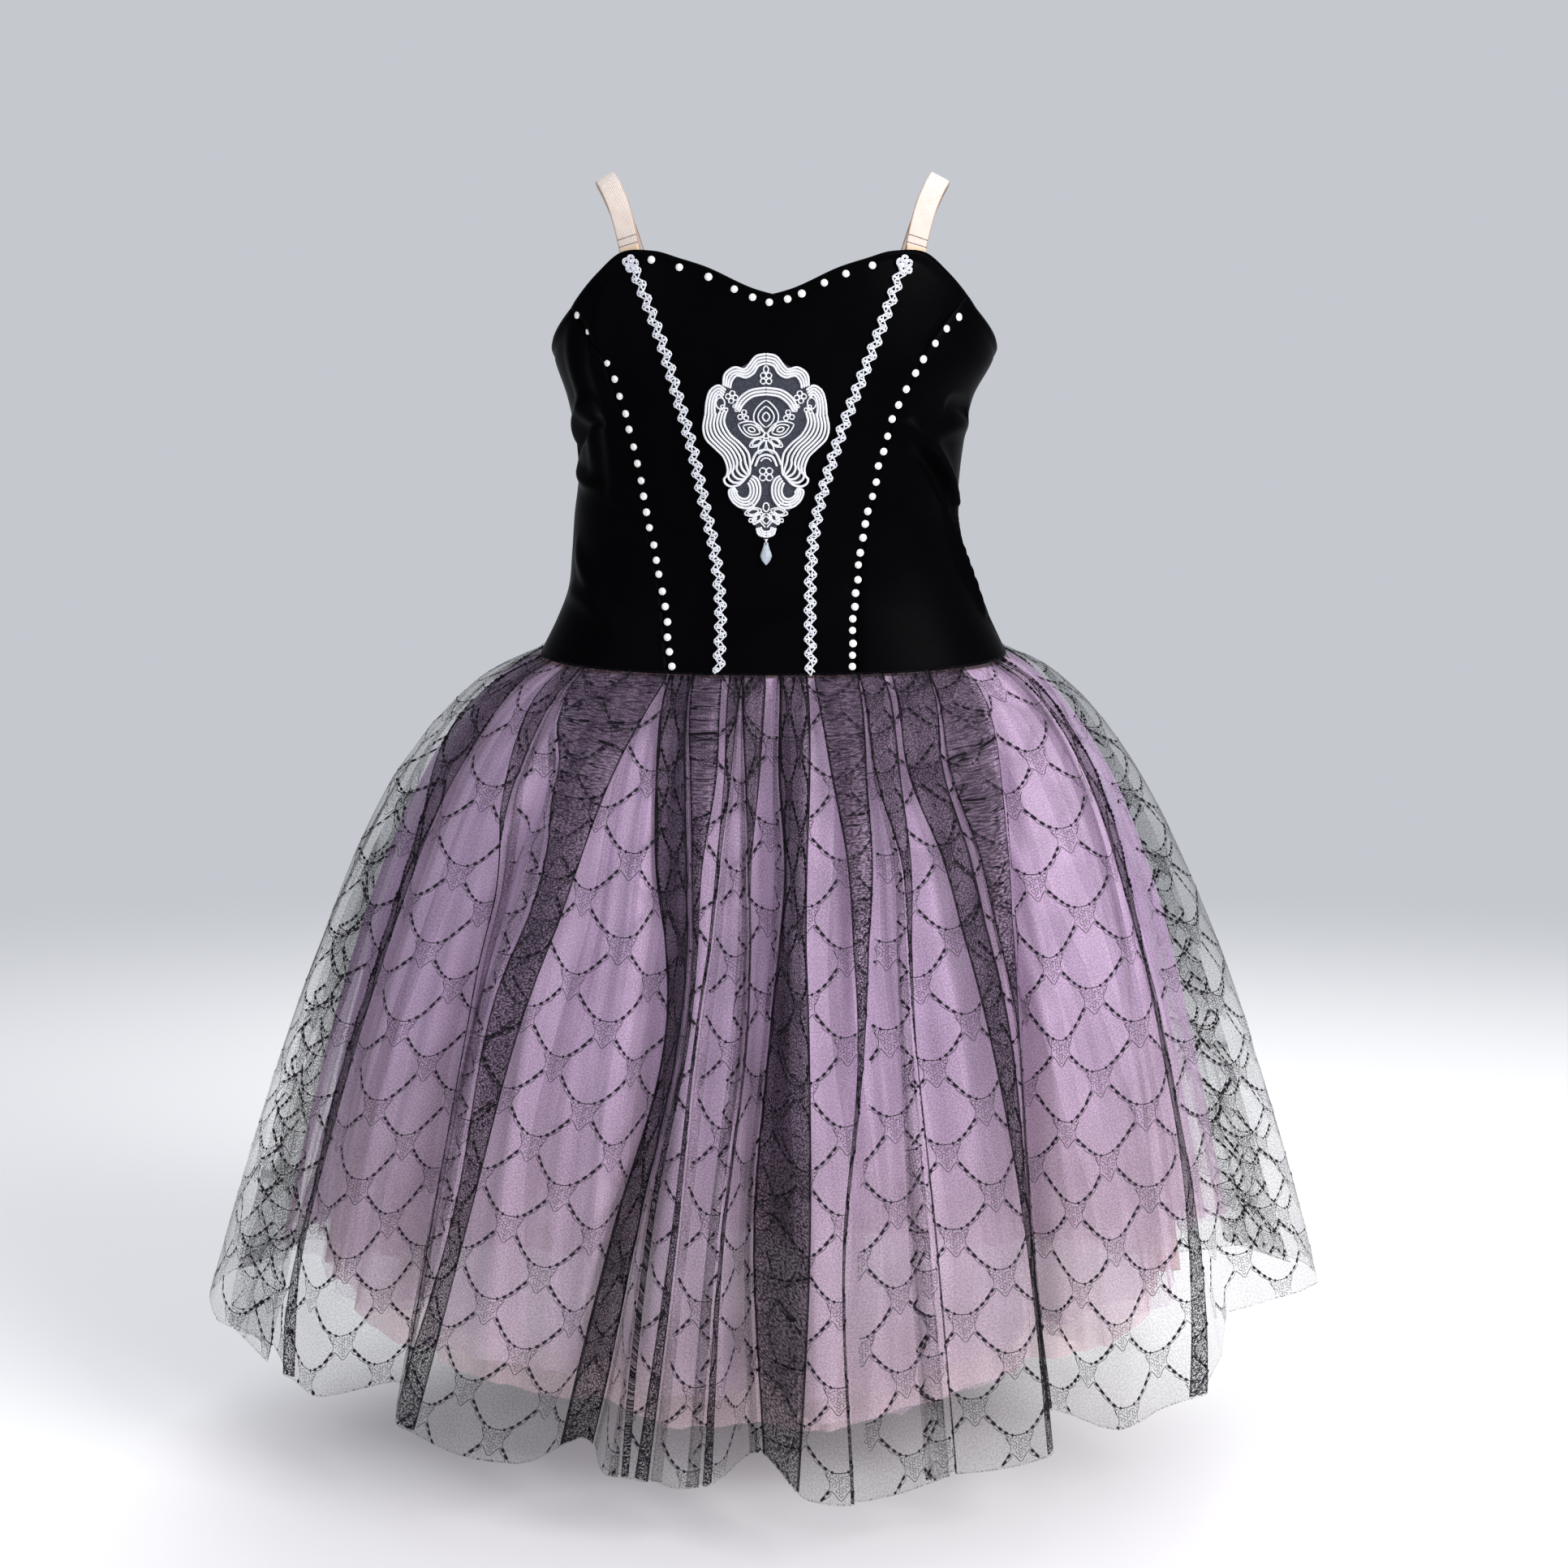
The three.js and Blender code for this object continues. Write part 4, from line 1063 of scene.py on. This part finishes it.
# Folds round the skirt: which side lies over, and the turns of the folded band's two edges at
# the stations down the cloth.
net_folds = [
    ("right", [-77.5, -76.2, -67.2, -64.3, -64.8, -57], [-67.8, -63.9, -63.5, -62.2, -62.3, -55.5]),
    ("left", [-58, -51.5, -45, -44.5, -44.5, -44.5], [-50, -46.3, -44.6, -44.4, -44.4, -44.4]),
    ("right", [-49, -40.4, -34.6, -37, -36.5, -40.5], [-22, -25.9, -28.8, -32.3, -34.2, -37.2]),
    ("left", [-22, -19.1, -17.1, -13.9, -17.9, -22], [-16.2, -13.5, -11.8, -11.5, -15.3, -18.8]),
    ("right", [-16, -12.8, -11.2, -10.8, -14.2, -14.5], [-9.2, -8.2, -9.8, -10.3, -13.3, -13.8]),
    ("left", [-8, -7.1, -7.9, -9.7, -11, -13.2], [-5.2, -5.9, -7.3, -9.3, -10.2, -11.8]),
    ("right", [-5.2, -3.9, -3.3, -3.4, -5.6, -6.6], [-0.8, -1.6, -2.9, -3.1, -5.2, -5.8]),
    ("right", [1, 0.7, 1.5, -0.4, -2.2, -1], [6.2, 5.4, 4.6, 4.5, 4, 2.5]),
    ("left", [7.2, 8.6, 10.5, 10.4, 7.3, 7.2], [17.2, 14.8, 14.1, 11.3, 7.6, 7.5]),
    ("right", [17.5, 16.1, 18.7, 17.9, 18, 18], [24, 21, 20.3, 18.2, 18.3, 18.2]),
    ("left", [25.5, 22.3, 25.6, 27.9, 28.7, 28], [36.2, 29.2, 30, 30.9, 29.6, 29]),
    ("right", [36.5, 30.3, 31.4, 31.9, 31.3, 31.8], [50.2, 43.9, 37.3, 33.9, 32.8, 32.9]),
    ("left", [66.5, 66.8, 67.7, 63.8, 54.5, 47.8], [73.2, 73.2, 73, 67.7, 57.8, 50]),
    ("right", [110, 112, 116, 119, 121, 122], [120, 118, 119, 121, 122, 123]),
    ("left", [124, 126, 130, 133, 134, 135], [136, 133, 134, 135, 136, 137]),
    ("right", [138, 141, 145, 148, 149, 150], [150, 149, 150, 151, 152, 153]),
    ("left", [153, 156, 160, 161, 162, 163], [164, 163, 164, 165, 164, 165]),
    ("right", [166, 169, 172, 174, 175, 176], [180, 178, 178, 179, 179, 179]),
    ("left", [184, 186, 188, 188, 189, 189], [194, 193, 192, 191, 191, 191]),
    ("right", [196, 198, 201, 203, 204, 205], [207, 206, 207, 207, 207, 208]),
    ("left", [210, 212, 215, 217, 218, 218], [221, 220, 220, 219, 219, 219.5]),
    ("right", [224, 226, 229, 231, 232, 233], [236, 235, 235, 235, 235, 236]),
    ("left", [239, 241, 243, 244, 245, 245], [250, 248, 247, 246, 246, 246.5]),
]
# Cross-section of a fold that lies over to the left: share of the band's width from its low
# edge to its high one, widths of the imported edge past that, share of the gap to the next fold
# past that, and mm inside the panel.
fold_section = [
    ("over", 0.12, 0, 0, -0.2), ("over", 0.5, 0, 0, -0.3), ("over", 0.8, 0, 0, -0.2), ("over", 1, -1, 0, 0.1),
    ("turned", 1, 0, 0, 0.6), ("turned", 1, -1, 0, 1.25), ("turned", 0.5, 0, 0, 1.4),
    ("turned", 0, 1, 0, 1.6), ("turned", 0, 0, 0, 2.2),
    ("under", 0, 1, 0, 2.9), ("under", 0.5, 0, 0, 3.1), ("under", 0.95, 0, 0, 3.2),
    ("panel", 1, 0, 0.12, 2.2), ("panel", 1, 0, 0.3, 0.6),
]
EDGE_WIDTH = 1.3
EDGE_SHARE = 0.16  # at most, of the band's width
WAIST_RADIUS = 125
MEAN_FLARE = 0.7
WIDEST_BULGE = 16  # turns past which a panel bulges no more
RIPPLES = 26
RIPPLE_SIZE = 17
CRINKLE = 0.9
CRINKLES = 240
PUFF_AT = 0.05  # share of the cloth's length
HEADING_UP, HEADING_OUT, HEADING_FADES = 1.9, 1.1, 0.006
# Folds whose cloth runs on behind the next panel and back, and how far, as a share of the gap
underlays = {1: 0.16, 3: 0.2, 5: 0.25, 10: 0.26, 16: 0.25, 19: 0.3, 22: 0.3}
PANEL_COLUMNS = 11
LAST_STITCH = 0.9965

t_rows = np.append(np.linspace(0, 1, NET_ROWS) ** 1.12, LAST_STITCH)
t_rows.sort()


def station_curve(values):
    return read({"t": stations, "turn": values}, "t", "turn", t_rows)


band_low = [station_curve(low) for over, low, high in net_folds]
band_high = [np.maximum(station_curve(high), low + 0.25) for (over, _, high), low in zip(net_folds, band_low)]
fold_thick = FOLD_THICK * lerp(0.45, 1, np.minimum(t_rows * 5, 1))
mm_per_turn = math.pi / 180 * (WAIST_RADIUS + MEAN_FLARE * flare_reach(t_rows))
column_turn, column_deep, column_part, column_band = [], [], [], []
rng = np.random.default_rng(21)
for index, (over, _, _) in enumerate(net_folds):
    low, high = band_low[index], band_high[index]
    last = index == len(net_folds) - 1
    next_low = band_low[0] + 360 if last else band_low[index + 1]
    before = low - (band_high[index - 1] - (360 if index == 0 else 0))
    after = next_low - high
    edge = np.minimum(EDGE_WIDTH / mm_per_turn, EDGE_SHARE * (high - low))
    rows = list(fold_section)
    if index in underlays:
        reach = underlays[index]
        rows[-2:-2] = [
            ("under", 1, 0, reach, 3.4), ("under", 1, 0, reach - 0.01, 3.0), ("under", 1, 0, 0.04, 2.6)]
    section = [(part, low + (high - low) * share + edge * edges + np.maximum(after, 0.1) * past, deep)
               for part, share, edges, past, deep in rows]
    if over == "right":
        section = [(part, high - (high - low) * share - edge * edges - np.maximum(before, 0.1) * past, deep)
                   for part, share, edges, past, deep in reversed(rows)]
    for part, turn, deep in section:
        column_part.append((index, part))
        column_turn.append(turn)
        column_deep.append(deep * fold_thick)
        column_band.append((high - low) * mm_per_turn)
    start, bulge = column_turn[-1], rng.uniform(0.03, 0.07)
    for n in range(1, PANEL_COLUMNS):
        share = n / PANEL_COLUMNS
        column_part.append((index, "panel" if n != PANEL_COLUMNS // 2 else "middle"))
        column_turn.append(lerp(start, next_low, share))
        panel_mm = np.clip(after, 0, WIDEST_BULGE) * 6 * np.clip(t_rows * 4, 0, 1)
        column_deep.append(-bulge * panel_mm * math.sin(math.pi * share))
        column_band.append(0 * t_rows)

# The columns start at the middle of the last panel, so that no fold lies across the join.
middle = [n for n, (_, part) in enumerate(column_part) if part == "middle"]
shift = -middle[-1]
turn = np.roll(np.stack(column_turn, axis=1), shift, axis=1)
deep = np.roll(np.stack(column_deep, axis=1), shift, axis=1)
band_mm = np.roll(np.stack(column_band, axis=1), shift, axis=1)
parts = column_part[middle[-1]:] + column_part[:middle[-1]]
t = t_rows[:, None] + 0 * turn

ripple = 0
for _ in range(RIPPLES):
    per_turn = rng.integers(14, 52)
    drift = rng.uniform(-9, 9)
    size = rng.uniform(0.4, 1) * RIPPLE_SIZE / per_turn
    ripple = ripple + size * np.sin(np.radians(turn) * per_turn + drift * t + rng.uniform(0, 6.3))
crinkle = CRINKLE * np.sin(np.radians(turn) * CRINKLES + 5 * np.sin(9 * t)) * np.exp(-t / 0.07)
puff = PUFF * t / PUFF_AT * np.exp(1 - t / PUFF_AT)
inwards = deep - puff - (ripple * 0.9 + 0.6) * np.clip(t * 4, 0.15, 1) + crinkle * np.clip(t * 30, 0, 1)
net_points = skirt_point(turn, t, inwards=inwards)
heading = np.exp(-t / HEADING_FADES)[..., None]
net_points = net_points + heading * (np.array([0, 0, HEADING_UP]) + HEADING_OUT * outward(net_points))

# Place of every column on the flat cloth, in mm along the hem: true to length on each panel
# and on the layers of the folds next to it, with what is left over packed in the turned layer.
columns = net_points.shape[1]
closed = np.concatenate([net_points, net_points[:, :1]], axis=1)
arc_length = np.cumsum(np.linalg.norm(np.diff(closed, axis=1), axis=-1), axis=1)
arc_length = np.concatenate([np.zeros((len(t_rows), 1)), arc_length], axis=1)
CLOTH_WIDTH = arc_length[-1, -1]
centres = [n for n, (_, part) in enumerate(parts) if part == "middle"] + [columns]
on_cloth = np.full((len(t_rows), columns + 1), np.nan)
panel = 0
for n, (_, part) in enumerate(parts + [parts[0]]):
    if part == "turned":
        if n > 0 and parts[n - 1][1] != "turned":
            panel += 1
        continue
    centre = centres[panel]
    on_cloth[:, n] = arc_length[-1, centre] + arc_length[:, n] - arc_length[:, centre]
known = ~np.isnan(on_cloth[0])
for row in range(len(t_rows)):
    on_cloth[row] = np.interp(np.arange(columns + 1), np.flatnonzero(known), on_cloth[row, known])
on_cloth = np.maximum.accumulate(on_cloth, axis=1)

# Fine nylon net: black threads 1 mm apart, which look like a grey haze with a grain. It goes
# dark where it is doubled or seen at a slant. The grain is drawn coarse enough to show.
net_cloth = new_material("fine_black_nylon_net")
place = cloth_place(net_cloth)
grain = noise(net_cloth, place, 850, 0, noise_dimensions="2D")
smear = noise(net_cloth, place, 26, 2, noise_dimensions="2D")
thread_cover = ranged(net_cloth, grain, 0.3, 0.7, 0.02, 0.24)
dense = add_node(net_cloth, "ShaderNodeAttribute", attribute_name="dense").outputs["Fac"]
slant = add_node(net_cloth, "ShaderNodeLayerWeight", {"Blend": 0.5}).outputs["Facing"]
slanted = ranged(net_cloth, slant, 0.72, 1, 0, 0.24)
uneven = ranged(net_cloth, smear, 0.3, 0.7, -0.03, 0.05)
crushed_place = add_node(
    net_cloth, "ShaderNodeVectorMath", {0: smear, 1: (0.03, -0.02, 0), 2: place},
    operation="MULTIPLY_ADD").outputs[0]
crackle = noise(net_cloth, crushed_place, 125, 1, noise_dimensions="2D")
veins = maths(net_cloth, "MULTIPLY_ADD", maths(net_cloth, "COMPARE", crackle, 0.5, 0.014), 1.9, 0.75)
speckle = ranged(net_cloth, grain, 0.38, 0.62, 0.4, 1.6)
packed = maths(net_cloth, "MULTIPLY", dense, maths(net_cloth, "MULTIPLY", veins, speckle))
cover = thread_cover
for extra in (slanted, uneven, packed):
    cover = maths(net_cloth, "ADD", cover, extra, use_clamp=True)
principled(net_cloth, "#0F0D14", 0.7, Specular_IOR_Level=0.12, Alpha=cover)

# How much darker the net is than one layer of it: in the turned bands, where they close, on their
# edges, in the gathers and at the hem
BAND_AT_WAIST, BAND_BELOW, CLOSED_FOLD, BAND_EDGE, GATHERS, HEM = 0.2, 0.5, 0.5, 1.1, 0.1, 0.25
net_uv = np.stack([on_cloth, -NET_LENGTH * t_rows[:, None] + 0 * on_cloth], axis=-1) / 1000
net = sheet("net_overlay", net_points, net_cloth, net_uv, wraps=True)
is_edge = np.array([
    part == "turned" and 0 < n < columns - 1 and (parts[n - 1][1] != "turned" or parts[n + 1][1] != "turned")
    for n, (_, part) in enumerate(parts)])
is_band = np.array([part == "turned" for _, part in parts])
closed_fold = CLOSED_FOLD * np.exp(-band_mm / 4)
in_band = lerp(BAND_AT_WAIST, BAND_BELOW, np.clip(t * 2.5, 0, 1)) + closed_fold * np.clip(t * 3, 0, 1)
density = np.where(is_edge[None, :], BAND_EDGE, np.where(is_band[None, :], in_band, 0))
density = density + GATHERS * np.exp(-t / 0.06) + HEM * (t > 0.9999)
net.data.attributes.new("dense", "FLOAT", "POINT").data.foreach_set("value", density.ravel())
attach(net, "dress")
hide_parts("skirt_net_overlay")

# ---------------------------------------------------------------- lattice of the net
# Lace lines worked into the net: swags of double thread with dashes on their flanks, which
# meet at small clusters of loops. Rows are 26 mm apart and each is set half a repeat aside.
REPEAT = 55.0
ROW_STEP = 26.2
THREAD_WIDTH = 0.45
FINE_WIDTH = 0.38
DASH_WIDTH = 1.8
LATTICE_LIFT = 0.35
FIRST_ROW = -14
BOW, BOWS = 5, 5  # the rows rise and sink this much, this often round the cloth
SWAY, SWAYS = 1.3, 9
SWAG_POINTS = 17
repeats = round(CLOTH_WIDTH / REPEAT)
repeat = CLOTH_WIDTH / repeats
lattice_rows = int(NET_LENGTH / ROW_STEP) + 1

swag = smooth_line(
    [(6.8, 10.9), (10.2, 15), (14.4, 19.7), (18.4, 23.3), (22.6, 25.6), (repeat / 2, 26.2)], SWAG_POINTS)
swag_way = unit(np.gradient(swag, axis=0))
swag_aside = np.stack([-swag_way[:, 1], swag_way[:, 0]], axis=-1)
partner = (swag + swag_aside * (1.5 + 0.5 * np.sin(np.linspace(0, 19, SWAG_POINTS)))[:, None])[:13:2]
notch = np.array([(-6.8, 10.9), (-5.4, 11.2), (-3.6, 13), (-1, 16.6), (0, 17), (1, 16.6), (3.6, 13),
                  (5.4, 11.2), (6.8, 10.9)])
motif = [(swag, THREAD_WIDTH), (partner, FINE_WIDTH), (notch, THREAD_WIDTH)]
side = np.array([(9.6, -0.3), (7.9, 3.2), (6.4, 6.2), (6.6, 9.4), (9.2, 12.4), (11.2, 15.6)])
motif += [(side, FINE_WIDTH)]
for at, long in ((0.3, 1.6), (3.1, 2.1), (6.6, 1.7), (9.6, 1.5), (12.6, 0.9)):
    steps = at + long * np.array([0, 0.5, 1])
    dash = np.stack([np.interp(steps, np.arange(SWAG_POINTS), swag[:, k]) for k in (0, 1)], axis=-1)
    motif.append((dash, DASH_WIDTH))
motif += [(line * np.array([-1, 1]), width) for line, width in motif if line[:, 0].min() >= 0]
for x, y, size in ((-7.2, 1.2, 1.4), (-3.6, 1.0, 1.3), (0.2, 1.5, 1.4), (3.7, 1.0, 1.4), (7.3, 1.2, 1.3),
                   (-5.3, 4.1, 1.4), (-1.7, 4.5, 1.4), (2.0, 4.2, 1.5), (5.5, 4.2, 1.3),
                   (-3.7, 7.4, 1.3), (0.2, 7.7, 1.4), (3.9, 7.4, 1.3), (-1.7, 10.6, 1.3), (1.9, 10.7, 1.3),
                   (0.1, 13.6, 1.2)):
    motif.append((arc(x, y, size, 30 * x, 300 + 30 * x, 1.15, 25 * x, 5), FINE_WIDTH))

row_number, cell_number = np.meshgrid(np.arange(lattice_rows), np.arange(repeats), indexing="ij")
cell_x = ((cell_number + 0.5 * (row_number % 2)) * repeat).ravel()
cell_y = (row_number * ROW_STEP + FIRST_ROW).ravel()


def on_net(x, y):
    """Points and normals of the net at places on its flat cloth, in mm."""
    round_cloth = 2 * math.pi * x / CLOTH_WIDTH
    skew = BOW * np.sin(round_cloth * BOWS + 0.8) + 1.2 * np.sin(x / 41 + y / 77)
    y = y + skew * np.clip(y / 120, 0, 1)
    x = (x + SWAY * np.sin(y / 33 + round_cloth * SWAYS)) % CLOTH_WIDTH
    inside = (y > 0.5) & (y < NET_LENGTH - 0.3)
    place = np.interp(np.clip(y, 0, NET_LENGTH) / NET_LENGTH, t_rows, np.arange(len(t_rows)))
    row = np.minimum(place.astype(int), len(t_rows) - 2)
    found = np.zeros(x.shape + (6,))
    for k in range(len(t_rows) - 1):
        pick = row == k
        if not pick.any():
            continue
        ends = []
        for r in (k, k + 1):
            column = np.interp(x[pick], on_cloth[r], np.arange(columns + 1))
            left = np.minimum(column.astype(int), columns - 1)
            part = (column - left)[:, None]
            ends.append(lerp(net_data[r, left], net_data[r, left + 1], part))
        inside[pick] &= ~is_under[left % columns]
        found[pick] = lerp(ends[0], ends[1], (place[pick] - k)[:, None])
    return found[..., :3], unit(found[..., 3:] + 1e-9), inside


net_data = np.concatenate([closed, outward(closed)], axis=-1)
is_under = np.array([part == "under" for _, part in parts])
strips = [([], []), ([], [])]  # points and faces of the lattice in front and at the back
counts = [0, 0]
for line, width in motif:
    x = cell_x[:, None] + line[None, :, 0]
    y = cell_y[:, None] + line[None, :, 1]
    spots, normals, inside = on_net(x, y)
    spots = spots + normals * LATTICE_LIFT
    aside = np.cross(normals, np.gradient(spots, axis=1))
    aside = aside / np.maximum(np.linalg.norm(aside, axis=-1, keepdims=True), 1e-6)
    drawn = inside[:, :-1] & inside[:, 1:]
    behind = spots[:, len(line) // 2, 1] > 0
    for part in (0, 1):
        pick = drawn.any(axis=1) & (behind == bool(part))
        half = aside[pick] * width / 2
        ribbon = np.stack([spots[pick] - half, spots[pick] + half], axis=2)
        cells, samples = ribbon.shape[:2]
        base = counts[part] + np.arange(cells)[:, None] * samples * 2 + np.arange(samples - 1)[None, :] * 2
        strips[part][0].append(ribbon.reshape(-1, 3))
        strips[part][1].append(np.stack([base, base + 1, base + 3, base + 2], axis=-1)[drawn[pick]])
        counts[part] += cells * samples * 2

# Lattice thread: dull black polyester, spun and a little uneven, with no shine.
lattice_thread = new_material("black_polyester_thread")
fuzz = noise(lattice_thread, solid_place(lattice_thread), 600, 0)
principled(
    lattice_thread, blended(lattice_thread, fuzz, "#08060B", "#241D2A"), 0.8, Specular_IOR_Level=0.2)
for part, word in ((0, "front"), (1, "back")):
    used, faces = np.unique(np.concatenate(strips[part][1]), return_inverse=True)
    faces = faces.reshape(-1, 4)
    points = np.concatenate(strips[part][0])[used]
    lattice = link_mesh(f"net_lattice_{word}", points, faces, np.zeros((len(faces), 4, 2)), lattice_thread)
    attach(lattice, "dress")
    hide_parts("skirt_net_overlay")
